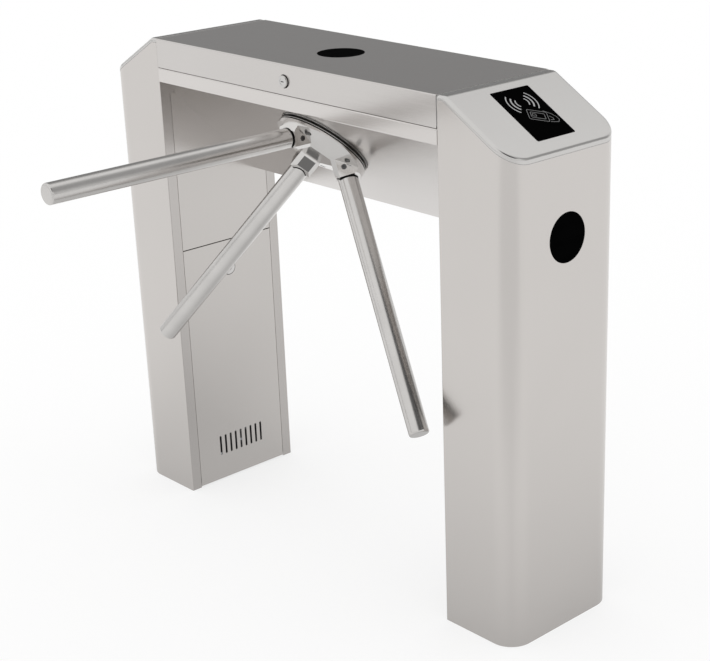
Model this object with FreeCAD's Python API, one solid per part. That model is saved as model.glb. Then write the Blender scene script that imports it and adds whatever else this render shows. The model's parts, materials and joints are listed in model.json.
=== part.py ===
import FreeCAD, Part
import math
import os
from FreeCAD import Placement, Rotation, Vector

# Tripod turnstile, bridge type. Millimetres, +Z up, origin on the floor at the middle of the cabinet.
# +X runs along the bridge to the right-hand leg, and the arms reach out towards -Y.

# Cabinet
HEIGHT = 1000.0            # floor to the top of the lid
DEPTH = 280.0              # front wall to rear wall
PASSAGE = 800.0            # clear width between the two legs
LEG_WIDTH = 170.0
LEG_CORNER = 45.0          # plan radius of the outer corners
LEG_INNER_CORNER = 2.0     # plan radius of the corners beside the bridge
SHEET = 1.5                # stainless sheet of legs, lid, doors and panels
BRIDGE_SHEET = 2.0
BEND = 1.0                 # inside radius of a fold
SEAM = 0.8                 # visible joint between two sheets

# Sloped cap of a leg
CAP_FLAT = 17.0            # level strip beside the lid
CAP_SLOPE = 30.0           # degrees below the level
CAP_SKIRT = 8.0            # folded-down rim
CAP_ROLL = 6.0             # radius of the rolled rim
CAP_RIDGE = 15.0           # radius between level strip and slope
CAP_SEAT_INSET = 7.0       # from the skirt's inside to the upright that the cap sits on

# Reader on the slope
READER_LENGTH = 128.0
READER_WIDTH = 94.0
READER_START = 19.3        # from the ridge, along the slope
READER_CORNER = 3.0
WINDOW_LAP = 6.0           # hidden flange around each window
WINDOW_FLANGE = 3.0        # its thickness
WINDOW_FIT = 0.3
WINDOW_PROUD = 0.3
READER_DEPTH = 22.0
READER_MARGIN = 4.0        # from the window's edge to the reader module's side

# Round indicator windows
INDICATOR_RADIUS = 45.0
INDICATOR_DROP = 244.5     # from the lid's top to the centre on the end wall
BOARD = 1.6                # circuit board
BOARD_SPACER = 8.0
SPACER_WALL = 2.5
LAMP_COUNT = 6
LAMP_HALF = 2.5
LAMP_CIRCLE = 22.5

# Opening in the passage side of a leg
OPENING_HALF = 116.5
OPENING_DROP = 113.0       # from the lid's top to the opening's top
PANEL_HEIGHT = 338.0       # fixed panel above the door
DOOR_BOTTOM = 3.0
DOOR_GAP = 1.0
LIP_INSIDE = 8.0           # how far the stop strips show inside the opening
LIP_OUTSIDE = 6.0
LIP_START = 25.0
RAIL_HALF = 30.0           # cross rail behind the joint of door and panel
RAIL_DEPTH = 9.5
PAN_INSET = 10.5           # from the door's edge to its stiffening returns
PAN_DEPTH = 36.0
PAN_SHEET = 2.0
PAN_TOP_DROP = 46.0
PAN_BOTTOM_RISE = 3.5
VENT_COUNT = 9
VENT_PITCH = 14.0
VENT_WIDTH = 5.0
VENT_HEIGHT = 45.0
VENT_BOTTOM = 60.0
VENT_CORNER = 1.5
DOOR_PIN_RADIUS = 2.0
DOOR_PIN_BACK = 4.0        # pin axis behind the door's face
DOOR_PIN_HEIGHT = 10.0
DOOR_PIN_FIT = 0.1
EAR_THICKNESS = 3.0
EAR_LENGTH = 12.5
EAR_HEIGHT = 16.0
EAR_GAP = 1.5              # from the opening's edge to the ear
PIN_OVERRUN = 1.0

# Foot of a leg
FOOT = 6.0
FOOT_SETBACK = 12.0        # behind the passage face, clear of the tilting door
FOOT_FIT = 0.2
ANCHOR_RADIUS = 7.0        # M12 floor anchors
ANCHOR_HALF_X = 50.0
ANCHOR_HALF_Y = 100.0
CABLE_ENTRY_RADIUS = 30.0
CABLE_PASS_RADIUS = 25.0   # from bridge to leg
CABLE_PASS_Y = 60.0
CABLE_PASS_DROP = 200.0    # from the lid's top

# Locks
DOOR_LOCK_FLANGE = 15.0
DOOR_LOCK_PROUD = 1.5
DOOR_LOCK_ROUND = 0.9
LID_LOCK_DROP = 32.0       # from the lid's top
LID_LOCK_FLANGE = 11.5
LID_LOCK_PROUD = 5.0
LID_LOCK_ROUND = 1.5
LOCK_BODY_RADIUS = 9.0
LOCK_BODY_FIT = 0.1
LOCK_PLUG_RADIUS = 6.5
LOCK_PLUG_FIT = 0.08
LOCK_PLUG_RECESS = 0.4
LOCK_TAIL_HALF = 4.0      # square end that drives the cam
DOOR_LOCK_LENGTH = 12.0    # from the sheet's face to the cam
LID_LOCK_LENGTH = 19.0
CAM_THICKNESS = 2.5
CAM_LENGTH = 40.0
CAM_HOLD = 8.0             # how far a door's cam turns up behind the cross rail
CAM_HALF = 6.5
CAM_CORNER = 5.8
CAM_CLEARANCE = 0.2
CAM_BOSS = 2.0             # end of the plug behind the cam
KEY_SLOT_LENGTH = 8.0
KEY_SLOT_WIDTH = 1.6
KEY_SLOT_DEPTH = 2.0

# Bridge
LID_APRON = 57.4           # from the lid's top to its lower edge
LIP_DROP = 87.8            # from the lid's top to the underside of the front strip
LEDGE = 8.2                # level underside before the slanted face
BOTTOM_FLAT = 49.0         # level strip at the foot of the slanted face
STRIP_FLANGE = 14.0        # turned in under the lid's front edge
END_PLATE = 3.0
END_PLATE_FIT = 0.3
STRIKE_NEAR = 22.0         # tab that the lid's cam turns under
STRIKE_BACK = 9.0
STRIKE_GAP = 1.3
STRIKE_OVER = 6.0          # tab past the cam
STRIKE_SHEET = 1.5

# Lid hinge
HINGE_AT = 260.0           # each side of the middle
HINGE_LENGTH = 80.0
HINGE_LEAF = 1.5
HINGE_LEAF_HEIGHT = 26.0
HINGE_BARREL = 3.0
HINGE_PIN = 1.5
HINGE_FIT = 0.06
HINGE_KNUCKLE_GAP = 0.8

# Tripod
AXIS_TILT = 45.0           # rotor axis below the level
ARM_ANGLE = 45.0           # arms to rotor axis
ARM_COUNT = 3
ROTOR_DROP = 110.3         # from the ledge's inner corner down the slanted face to the axis
APEX_BACK = 39.0           # where the arm axes meet, behind the slanted face
ARM_LENGTH = 628.0         # from that point to an arm's tip
ARM_RADIUS = 19.0
ARM_WALL = 2.0
ARM_SOCKET_FIT = 0.5
SOCKET_START = 86.0
SOCKET_END = 113.0
SOCKET_FLOOR_GAP = 1.0
SPIGOT_END = 128.0         # stub inside an arm
SPIGOT_FIT = 0.3
CAP_PLUG = 22.0
ARM_CAP = 6.0
ARM_CAP_ROUND = 4.0
PLUG_FIT = 0.1
ESCUTCHEON_RADIUS = 52.0
ESCUTCHEON = 1.0           # height of the fixed collar round the shaft's flange
ESCUTCHEON_CHAMFER = 0.4
ROTOR_GAP = 1.5
ROTOR_RADIUS = 95.0
ROTOR_DISC = 4.0
DISC_INSET = 1.0           # black disc behind the head's rim
HEAD_RIM = 2.0             # left of the head's edge where its faces run out
NOSE_HEIGHT = 26.0         # above the slanted face
NOSE_APOTHEM = 30.0        # flat nose between the sockets
SOCKET_HALF = 22.0
SOCKET_BEVEL = 9.0
SOCKET_FRONT = 22.0        # socket's front face from the arm's axis
SOCKET_FRONT_START = 71.0
SOCKET_FRONT_END = 100.0
SOCKET_TIP_FRONT = 14.0
SOCKET_TIP_BACK = -16.0
HEAD_SCREW_CIRCLE = 77.0
HEAD_SCREW_ANGLE = 25.3    # each side of an arm
HEAD_SCREW_FLOOR = 5.0     # left under a screw's head
ARM_SCREW_AT = 94.5
SCREW_RADIUS = 3.0
SCREW_HEAD = 5.0
SCREW_HEAD_HEIGHT = 4.5
SCREW_FIT = 0.3
COUNTERBORE = 5.5
ARM_SCREW_HEAD_HEIGHT = 1.8
ARM_SCREW_RECESS = 0.4
HEX_KEY = 2.2
HEX_KEY_DEPTH = 1.2

# Drive and lock behind the slanted face
SHAFT_RADIUS = 12.5
SHAFT_FLANGE = 40.0
SHAFT_FLANGE_BACK = -0.5
SHAFT_SHOULDER = 16.0
SHAFT_FIT = 0.05
FACE_HOLE = 46.0
MECH_PLATE = 6.0
MECH_HALF_X = 128.0
MECH_FRONT = 85.0
MECH_REAR = 142.0
MECH_CORNER = 10.0
HOUSING_FLANGE_RADIUS = 40.0
HOUSING_FLANGE = 8.0
HOUSING_RADIUS = 32.0
HOUSING_LENGTH = 54.0
BEARING_RADIUS = 23.5
BEARING_WIDTH = 12.0
BEARING_FIT = 0.05
BEARING_SETBACK = 2.0
BEARING_GROOVE = 0.8
BEARING_RACE = 3.5
GEAR_MODULE = 2.5
GEAR_TEETH = 48
PINION_TEETH = 16
PRESSURE_ANGLE = 20.0
GEAR_BACKLASH = 0.35
GEAR_WIDTH = 10.0
GEAR_GAP = 4.0             # behind the bearing housing
HUB_RADIUS = 18.0
WHEEL_GAP = 4.0
LOCK_WHEEL_RADIUS = 52.0
LOCK_WHEEL = 8.0
NOTCH_COUNT = 6
NOTCH_WIDTH = 14.0
NOTCH_DEPTH = 13.0
DISC_GAP = 8.0
SENSOR_DISC_RADIUS = 40.0
SENSOR_DISC = 1.5
SENSOR_SLOT_WIDTH = 8.0
SENSOR_SLOT_DEPTH = 9.0
NUT_HEIGHT = 8.0
NUT_RADIUS = 20.0
SHAFT_TAIL = 2.0
MOTOR_RADIUS = 33.0
MOTOR_LENGTH = 38.0
MOTOR_FLANGE_HALF = 37.0
MOTOR_FLANGE = 6.0
MOTOR_BOSS_RADIUS = 14.0
MOTOR_BOSS = 6.0
MOTOR_SHAFT = 5.0
MOTOR_SHAFT_DEPTH = 12.0
BOLT_RADIUS = 6.0
BOLT_LENGTH = 66.0
BOLT_STANDOFF = 4.0        # tip to the lock wheel when withdrawn
BOLT_FIT = 0.08
SOLENOID_HALF_X = 22.0
SOLENOID_LENGTH = 58.0
SOLENOID_HALF_Z = 17.0
SOLENOID_NOSE = 14.0       # from the bolt's tip back to the coil's front
SOLENOID_POST = 6.0
SENSOR_POST_GAP = 4.0
SENSOR_POST = 10.0
SENSOR_HALF = 8.0
SENSOR_JAW = 2.5
SENSOR_JAW_GAP = 1.5
SENSOR_REACH = 6.0         # jaws over the disc's edge

# Electrics on the rear wall
SUPPLY_LENGTH = 110.0
SUPPLY_DEPTH = 38.0
SUPPLY_HEIGHT = 82.0
CONTROL_LENGTH = 140.0
CONTROL_HEIGHT = 100.0
ELECTRICS_AT = 250.0
ELECTRICS_DROP = 232.0     # from the lid's top to their lower edge
STANDOFF = 10.0
STANDOFF_RADIUS = 3.5
STANDOFF_INSET = 8.0
TERMINAL_DEPTH = 14.0
TERMINAL_HEIGHT = 12.0
CHIP_SIDE = 22.0
CHIP_DEPTH = 4.0
RELAY_LENGTH = 20.0
RELAY_DEPTH = 16.0
RELAY_COUNT = 3
RELAY_PITCH = 30.0

# Places worked out from the sizes above
HALF_DEPTH = DEPTH / 2
LEG_IN = PASSAGE / 2
LEG_OUT = LEG_IN + LEG_WIDTH
LEG_MID = LEG_IN + LEG_WIDTH / 2
REACH = 2 * HEIGHT         # longer than anything that it cuts
CAP_FORM_FOOT = HEIGHT / 2
LIP_Z = HEIGHT - LIP_DROP
STRIP_TOP = HEIGHT - LID_APRON - SEAM
INDICATOR_Z = HEIGHT - INDICATOR_DROP
OPENING_TOP = HEIGHT - OPENING_DROP
DOOR_TOP = OPENING_TOP - PANEL_HEIGHT
CABLE_PASS_Z = HEIGHT - CABLE_PASS_DROP
DOOR_LOCK_Z = DOOR_TOP - RAIL_HALF - CAM_LENGTH + CAM_HOLD
LID_LOCK_Z = HEIGHT - LID_LOCK_DROP
STRIKE_Z = LID_LOCK_Z + CAM_HALF + STRIKE_GAP
STRIKE_FAR = CAM_LENGTH + STRIKE_OVER
STRIKE_REACH = LID_LOCK_LENGTH + CAM_THICKNESS + STRIKE_OVER
ELECTRICS_BOTTOM = HEIGHT - ELECTRICS_DROP
TILT = math.radians(AXIS_TILT)
LEDGE_Y = LEDGE - HALF_DEPTH
SLANT_END_Y = HALF_DEPTH - BOTTOM_FLAT
SLANT_END_Z = LIP_Z - (SLANT_END_Y - LEDGE_Y) / math.tan(TILT)
ROTOR_AT = Vector(0, LEDGE_Y + ROTOR_DROP * math.sin(TILT), LIP_Z - ROTOR_DROP * math.cos(TILT))
ROTOR_FRAME = Placement(ROTOR_AT, Rotation(Vector(1, 0, 0), 90 + AXIS_TILT))
DISC_BACK = ESCUTCHEON + ROTOR_GAP
HEAD_BACK = DISC_BACK + ROTOR_DISC
HEAD_SCREW_SEAT = HEAD_BACK + HEAD_SCREW_FLOOR
FACET_FALL = NOSE_HEIGHT - HEAD_BACK - HEAD_RIM
FACET_ANGLE = math.degrees(math.atan2(FACET_FALL, ROTOR_RADIUS - NOSE_APOTHEM))
RIDGE_OUT = ROTOR_RADIUS * math.cos(math.pi / ARM_COUNT) - NOSE_APOTHEM
SOCKET_SKIRT = NOSE_HEIGHT - RIDGE_OUT * math.tan(math.radians(FACET_ANGLE))
PLATE_FACE = -BRIDGE_SHEET - MECH_PLATE
HOUSING_END = PLATE_FACE - HOUSING_LENGTH
GEAR_FRONT = HOUSING_END - GEAR_GAP
GEAR_BACK = GEAR_FRONT - GEAR_WIDTH
WHEEL_FRONT = GEAR_BACK - WHEEL_GAP
WHEEL_BACK = WHEEL_FRONT - LOCK_WHEEL
DISC_FRONT = WHEEL_BACK - DISC_GAP
NUT_FRONT = DISC_FRONT - SENSOR_DISC
SHAFT_END = NUT_FRONT - NUT_HEIGHT - SHAFT_TAIL
GEAR_CENTRES = GEAR_MODULE * (GEAR_TEETH + PINION_TEETH) / 2
GEAR_TIP = GEAR_MODULE * (GEAR_TEETH + 2) / 2
MOTOR_FRONT = PLATE_FACE - MOTOR_FLANGE - MOTOR_LENGTH - MOTOR_BOSS


def block(x0, x1, y0, y1, z0, z1):
    """Box between two corners, given in any order."""
    low = Vector(min(x0, x1), min(y0, y1), min(z0, z1))
    return Part.makeBox(abs(x1 - x0), abs(y1 - y0), abs(z1 - z0), low)


def rod(radius, start, direction, length):
    """Cylinder from a point along a direction."""
    return Part.makeCylinder(radius, length, Vector(*start), Vector(*direction))


def tube(outer, inner, z0, z1):
    """Ring about the Z axis between two heights."""
    low, height = min(z0, z1), abs(z1 - z0)
    ring = Part.makeCylinder(outer, height, Vector(0, 0, low))
    return ring.cut(Part.makeCylinder(inner, height, Vector(0, 0, low)))


def joined(shapes):
    """Fuse several shapes into one clean solid."""
    return shapes[0].multiFuse(shapes[1:]).removeSplitter()


def in_plane(plane, a, b):
    """Point of a flat outline: plane is 'xy', 'yz' or 'xz'."""
    return {"xy": Vector(a, b, 0), "yz": Vector(0, a, b), "xz": Vector(a, 0, b)}[plane]


def outline(points, radii, plane):
    """Closed wire through flat points, with each corner rounded by its own radius."""
    starts, ends, arcs = [], [], []
    count = len(points)
    for i, (corner, radius) in enumerate(zip(points, radii)):
        here = in_plane(plane, *corner)
        back = (in_plane(plane, *points[i - 1]) - here).normalize()
        ahead = (in_plane(plane, *points[(i + 1) % count]) - here).normalize()
        if radius == 0:
            starts.append(here)
            ends.append(here)
            arcs.append(None)
            continue
        half = back.getAngle(ahead) / 2
        middle = (back + ahead).normalize()
        setback = radius / math.tan(half)
        starts.append(here + back * setback)
        ends.append(here + ahead * setback)
        crown = here + middle * (radius / math.sin(half) - radius)
        arcs.append(Part.Arc(starts[-1], crown, ends[-1]).toShape())
    edges = []
    for i in range(count):
        if arcs[i]:
            edges.append(arcs[i])
        following = starts[(i + 1) % count]
        if (following - ends[i]).Length > 1e-6:
            edges.append(Part.LineSegment(ends[i], following).toShape())
    return Part.Wire(edges)


def rectangle(a0, a1, b0, b1):
    """Corners of a flat rectangle."""
    return [(a0, b0), (a1, b0), (a1, b1), (a0, b1)]


def hexagon(radius):
    """Corners of a regular hexagon."""
    return [(radius * math.cos(k * math.pi / 3), radius * math.sin(k * math.pi / 3)) for k in range(6)]


def prism(points, plane, start, length, radii=None):
    """Flat outline swept along the normal of its plane."""
    face = Part.Face(outline(points, radii or [0] * len(points), plane))
    normal = {"xy": Vector(0, 0, 1), "yz": Vector(1, 0, 0), "xz": Vector(0, 1, 0)}[plane]
    face.translate(normal * start)
    return face.extrude(normal * length)


def offset_path(path, distance):
    """Open path moved to its left by a distance, with mitred corners."""
    normals = []
    for (a0, b0), (a1, b1) in zip(path, path[1:]):
        size = math.hypot(a1 - a0, b1 - b0)
        normals.append((-(b1 - b0) / size, (a1 - a0) / size))
    moved = []
    for i, (a, b) in enumerate(path):
        before = normals[max(i - 1, 0)]
        after = normals[min(i, len(normals) - 1)]
        scale = distance / (1 + before[0] * after[0] + before[1] * after[1])
        moved.append((a + (before[0] + after[0]) * scale, b + (before[1] + after[1]) * scale))
    return moved


def folded(path, thickness, plane, start, length):
    """Sheet folded along an open path of its outer face; positive thickness lies to the path's left."""
    inner = offset_path(path, thickness)
    gauge = abs(thickness)
    outer_radii, inner_radii = [0], [0]
    for before, here, after in zip(path, path[1:], path[2:]):
        turn = (here[0] - before[0]) * (after[1] - here[1]) - (here[1] - before[1]) * (after[0] - here[0])
        inward = turn * thickness > 0
        outer_radii.append(BEND + gauge if inward else BEND)
        inner_radii.append(BEND if inward else BEND + gauge)
    points = path + inner[::-1]
    radii = outer_radii + [0] + inner_radii[1:][::-1] + [0]
    return prism(points, plane, start, length, radii + [0] * (len(points) - len(radii)))


def mirrored(shape):
    """The left-hand copy of a right-hand piece."""
    return shape.mirror(Vector(0, 0, 0), Vector(1, 0, 0))


def on_rotor(shape):
    """Move a piece from the rotor's own frame, Z out along its axis, to its place in the bridge."""
    placed = shape.copy()
    placed.Placement = ROTOR_FRAME.multiply(placed.Placement)
    return placed


def turned(shape, angle):
    """Copy turned about the Z axis, in degrees."""
    copy = shape.copy()
    copy.rotate(Vector(0, 0, 0), Vector(0, 0, 1), angle)
    return copy


def on_arm(shape, number):
    """Move a piece from an arm's own frame, Z along the arm from the apex, to the rotor's frame."""
    copy = shape.copy()
    copy.rotate(Vector(0, 0, 0), Vector(1, 0, 0), -ARM_ANGLE)
    copy.translate(Vector(0, 0, -APEX_BACK))
    return turned(copy, -number * 360 / ARM_COUNT)


# Leg, drawn on the right-hand side


def leg_top(drop):
    """Line of the leg's top seen from the front, moved inwards by a drop."""
    ridge = (LEG_IN + CAP_FLAT, HEIGHT)
    slope = math.radians(CAP_SLOPE)
    far = (ridge[0] + REACH * math.cos(slope), ridge[1] - REACH * math.sin(slope))
    return offset_path([(LEG_IN - REACH, HEIGHT), ridge, far], -drop)


def leg_space(drop_high, drop_low):
    """Slab between two such lines, as deep as the leg."""
    points = leg_top(drop_high) + leg_top(drop_low)[::-1]
    return prism(points, "xz", -DEPTH, 2 * DEPTH)


def leg_column(inset, bottom, top):
    """Leg's plan outline, moved inwards, as a straight column."""
    near, far, side = LEG_IN + inset, LEG_OUT - inset, HALF_DEPTH - inset
    corner = max(LEG_CORNER - inset, 1.0)
    inner = max(LEG_INNER_CORNER - inset, 0)
    corners = [inner, corner, corner, inner]
    return prism(rectangle(near, far, -side, side), "xy", bottom, top - bottom, corners)


def leg_ring(inset, thickness, drop_high, drop_low):
    """Band that follows the leg's walls, between two lines below its top."""
    ring = leg_column(inset, 0, HEIGHT).cut(leg_column(inset + thickness, 0, HEIGHT))
    return ring.common(leg_space(drop_high, drop_low))


def cap_form(inset):
    """Solid form of the leg's upper end with ridge and rolled rim, moved inwards."""
    form = leg_column(inset, CAP_FORM_FOOT, HEIGHT + 1).common(leg_space(inset, HEIGHT))
    ridge_at = leg_top(inset)[1]
    ridge = [e for e in form.Edges if is_ridge(e, ridge_at)]
    form = form.makeFillet(CAP_RIDGE, ridge)
    rim = [e for e in form.Edges if is_rim(e, inset)]
    return form.makeFillet(CAP_ROLL - inset, rim)


def is_ridge(edge, at):
    """True for the level edge across the leg at the top of the slope."""
    ends = [v.Point for v in edge.Vertexes]
    return all(math.hypot(p.x - at[0], p.z - at[1]) < 0.01 for p in ends)


def is_rim(edge, inset):
    """True for the top edges of the front, outer and rear walls."""
    box = edge.BoundBox
    wall_end = CAP_FORM_FOOT + 1
    upright = box.ZMax - box.ZMin > CAP_FORM_FOOT / 2
    inner = box.XMax < LEG_IN + inset + 0.01
    middle = box.YMax - box.YMin > DEPTH - 2 * LEG_CORNER + 1
    return box.ZMin > wall_end and not upright and not inner and not middle


def slope_place(shape):
    """Move a piece from the slope's frame to the leg: X down the slope from the ridge, Z out of it."""
    copy = shape.copy()
    copy.rotate(Vector(0, 0, 0), Vector(0, 1, 0), CAP_SLOPE)
    copy.translate(Vector(LEG_IN + CAP_FLAT, 0, HEIGHT))
    return copy


def reader_plate(margin, low, high):
    """Rectangle of the reader's window grown by a margin, in the slope's frame."""
    x0, x1 = READER_START - margin, READER_START + READER_LENGTH + margin
    side = READER_WIDTH / 2 + margin
    corner = max(READER_CORNER + margin, 0.5)
    return prism(rectangle(x0, x1, -side, side), "xy", low, high - low, [corner] * 4)


def leg_cap():
    """Sloped cap: a dished sheet with rolled rim and the reader's cut-out."""
    skin = cap_form(0).cut(cap_form(SHEET))
    skirted = skin.common(leg_space(-CAP_ROLL, CAP_SKIRT))
    return skirted.cut(slope_place(reader_plate(WINDOW_FIT, -CAP_RIDGE, CAP_RIDGE)))


def reader_window():
    """Black pane flush in the slope, with a flange under the sheet."""
    pane = reader_plate(0, -SHEET, WINDOW_PROUD)
    flange = reader_plate(WINDOW_LAP, -SHEET - WINDOW_FLANGE, -SHEET)
    return slope_place(joined([pane, flange]))


def card_reader():
    """Reader module behind the pane, with a stepped back."""
    front = -SHEET - WINDOW_FLANGE
    body = reader_plate(-READER_MARGIN, front - READER_DEPTH / 2, front)
    back = reader_plate(-3 * READER_MARGIN, front - READER_DEPTH, front - READER_DEPTH / 2)
    return slope_place(joined([body, back]))


def leg_shell():
    """Wrapped sheet of a leg, open to the passage, with stop strips, cross rail and the cap's seat."""
    wall = leg_ring(0, SHEET, CAP_SKIRT + SEAM, REACH)
    edge = CAP_SKIRT + SEAM
    shelf = leg_ring(SHEET, CAP_SEAT_INSET, edge, edge + SHEET)
    upright = leg_ring(SHEET + CAP_SEAT_INSET, SHEET, SHEET, edge + SHEET)
    opening = block(LEG_IN - 1, LEG_IN + SHEET, -OPENING_HALF, OPENING_HALF, -1, OPENING_TOP)
    window = rod(INDICATOR_RADIUS + WINDOW_FIT, (LEG_MID, 0, INDICATOR_Z), (1, 0, 0), LEG_WIDTH)
    stop = LEG_IN + SHEET
    inside, outside = OPENING_HALF - LIP_INSIDE, OPENING_HALF + LIP_OUTSIDE
    low, high = OPENING_TOP - LIP_INSIDE, OPENING_TOP + LIP_OUTSIDE
    strips = []
    for side in (-1, 1):
        strips.append(block(stop, stop + SHEET, side * inside, side * outside, LIP_START, high))
    strips.append(block(stop, stop + SHEET, -outside, outside, low, high))
    rail = block(stop, stop + RAIL_DEPTH, -outside, outside, DOOR_TOP - RAIL_HALF, DOOR_TOP + RAIL_HALF)
    hollow = block(stop + SHEET, stop + RAIL_DEPTH + 1, -outside, outside,
                   DOOR_TOP - RAIL_HALF + SHEET, DOOR_TOP + RAIL_HALF - SHEET)
    shell = joined([wall.cut(opening).cut(window), shelf, upright])
    return joined([shell] + strips + [rail.cut(hollow)])


def round_window():
    """Black round pane with a hidden flange, facing +Z with its face at zero."""
    pane = Part.makeCylinder(INDICATOR_RADIUS, SHEET + WINDOW_PROUD, Vector(0, 0, -SHEET))
    back = Vector(0, 0, -SHEET - WINDOW_FLANGE)
    flange = Part.makeCylinder(INDICATOR_RADIUS + WINDOW_LAP, WINDOW_FLANGE, back)
    return joined([pane, flange])


def light_board():
    """Indicator board on a spacer ring behind a round pane."""
    front = -SHEET - WINDOW_FLANGE
    ring = tube(INDICATOR_RADIUS, INDICATOR_RADIUS - SPACER_WALL, front - BOARD_SPACER, front)
    board = Part.makeCylinder(INDICATOR_RADIUS, BOARD, Vector(0, 0, front - BOARD_SPACER - BOARD))
    lamps = []
    for i in range(LAMP_COUNT):
        lamp = block(LAMP_CIRCLE - LAMP_HALF, LAMP_CIRCLE + LAMP_HALF, -LAMP_HALF, LAMP_HALF,
                     front - BOARD_SPACER, front - BOARD_SPACER + BOARD)
        lamps.append(turned(lamp, i * 360 / LAMP_COUNT))
    return joined([ring, board] + lamps)


def to_end_wall(shape):
    """Move a round-window piece to the leg's end wall."""
    copy = shape.copy()
    copy.rotate(Vector(0, 0, 0), Vector(0, 1, 0), 90)
    copy.translate(Vector(LEG_OUT, 0, INDICATOR_Z))
    return copy


def pan(half, bottom, top):
    """Stiffening returns behind a flat sheet in the leg's opening."""
    front, back = LEG_IN + SHEET, LEG_IN + PAN_DEPTH
    walls = []
    for side in (-1, 1):
        walls.append(block(front, back, side * half, side * (half - PAN_SHEET), bottom, top))
    return walls


def inner_panel():
    """Fixed upper panel of the passage side, with the cable pass to the bridge."""
    half = OPENING_HALF - DOOR_GAP
    sheet = block(LEG_IN, LEG_IN + SHEET, -half, half, DOOR_TOP + DOOR_GAP / 2, OPENING_TOP - DOOR_GAP)
    returns = pan(half - PAN_INSET, DOOR_TOP + RAIL_HALF + DOOR_GAP, OPENING_TOP - PAN_INSET - DOOR_GAP)
    hole = rod(CABLE_PASS_RADIUS, (LEG_IN - 1, CABLE_PASS_Y, CABLE_PASS_Z), (1, 0, 0), PAN_DEPTH)
    return joined([sheet] + returns).cut(hole)


def access_door():
    """Lower door: vented sheet with returns and two pivot pins at its foot, locked near its top."""
    half = OPENING_HALF - DOOR_GAP
    pan_half = half - PAN_INSET
    sheet = block(LEG_IN, LEG_IN + SHEET, -half, half, DOOR_BOTTOM, DOOR_TOP - DOOR_GAP / 2)
    pan_bottom = DOOR_BOTTOM + PAN_BOTTOM_RISE
    pieces = [sheet] + pan(pan_half, pan_bottom, DOOR_TOP - PAN_TOP_DROP)
    pin_x = LEG_IN + DOOR_PIN_BACK
    pin_end = OPENING_HALF + EAR_GAP + EAR_THICKNESS + PIN_OVERRUN
    pin_start = pan_half - 2 * PAN_SHEET
    for side in (-1, 1):
        start = (pin_x, side * pin_start, DOOR_PIN_HEIGHT)
        pieces.append(rod(DOOR_PIN_RADIUS, start, (0, side, 0), pin_end - pin_start))
    door = joined(pieces)
    first = -(VENT_COUNT - 1) / 2 * VENT_PITCH
    for i in range(VENT_COUNT):
        left = first + i * VENT_PITCH - VENT_WIDTH / 2
        points = rectangle(left, left + VENT_WIDTH, VENT_BOTTOM, VENT_BOTTOM + VENT_HEIGHT)
        door = door.cut(prism(points, "yz", LEG_IN - 1, SHEET + 2, [VENT_CORNER] * 4))
    at = (LEG_IN - 1, 0, DOOR_LOCK_Z)
    return door.cut(rod(LOCK_BODY_RADIUS + LOCK_BODY_FIT, at, (1, 0, 0), SHEET + 2))


def base_plate():
    """Foot plate with anchor holes, cable entry and the ears that carry the door's pins."""
    inset = SHEET + FOOT_FIT
    plate = leg_column(inset, 0, FOOT)
    plate = plate.cut(block(LEG_IN - 1, LEG_IN + FOOT_SETBACK, -DEPTH, DEPTH, -1, FOOT + 1))
    for dx in (-ANCHOR_HALF_X, ANCHOR_HALF_X):
        for y in (-ANCHOR_HALF_Y, ANCHOR_HALF_Y):
            plate = plate.cut(rod(ANCHOR_RADIUS, (LEG_MID + dx, y, -1), (0, 0, 1), FOOT + 2))
    plate = plate.cut(rod(CABLE_ENTRY_RADIUS, (LEG_MID, 0, -1), (0, 0, 1), FOOT + 2))
    ears = []
    pin_x = LEG_IN + DOOR_PIN_BACK
    slot = DOOR_PIN_RADIUS + DOOR_PIN_FIT
    for side in (-1, 1):
        near = side * (OPENING_HALF + EAR_GAP)
        far = near + side * EAR_THICKNESS
        ear = block(LEG_IN + SHEET, LEG_IN + SHEET + EAR_LENGTH + FOOT_SETBACK, near, far, 0, EAR_HEIGHT)
        seat = rod(slot, (pin_x, near - side, DOOR_PIN_HEIGHT), (0, side, 0), EAR_THICKNESS + 2)
        throat = block(pin_x - slot, pin_x + slot, near - side, far + side, DOOR_PIN_HEIGHT, EAR_HEIGHT + 1)
        ears.append(ear.cut(seat).cut(throat))
    return joined([plate] + ears)


# Locks, drawn with the key side facing +Z and the sheet's face at zero


def lock_housing(flange, proud, rounding, length):
    """Fixed barrel of a cam lock with its rounded collar."""
    collar = Part.makeCylinder(flange, proud)
    front = max(collar.Edges, key=lambda e: e.BoundBox.ZMax + e.BoundBox.ZMin)
    collar = collar.makeFillet(rounding, [front])
    barrel = Part.makeCylinder(LOCK_BODY_RADIUS, length - CAM_CLEARANCE, Vector(0, 0, CAM_CLEARANCE - length))
    bore = Part.makeCylinder(LOCK_PLUG_RADIUS + LOCK_PLUG_FIT, REACH, Vector(0, 0, -REACH / 2))
    return joined([collar, barrel]).cut(bore)


def lock_plug(proud, length):
    """Turning plug with a key slot in front and a square end for the cam."""
    face = proud - LOCK_PLUG_RECESS
    plug = Part.makeCylinder(LOCK_PLUG_RADIUS, face + length, Vector(0, 0, -length))
    tail = LOCK_TAIL_HALF
    square = block(-tail, tail, -tail, tail, -length - CAM_THICKNESS - CAM_BOSS, -length)
    slot = block(-KEY_SLOT_WIDTH / 2, KEY_SLOT_WIDTH / 2, -KEY_SLOT_LENGTH / 2, KEY_SLOT_LENGTH / 2,
                 face - KEY_SLOT_DEPTH, face)
    return joined([plug, square]).cut(slot)


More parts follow.
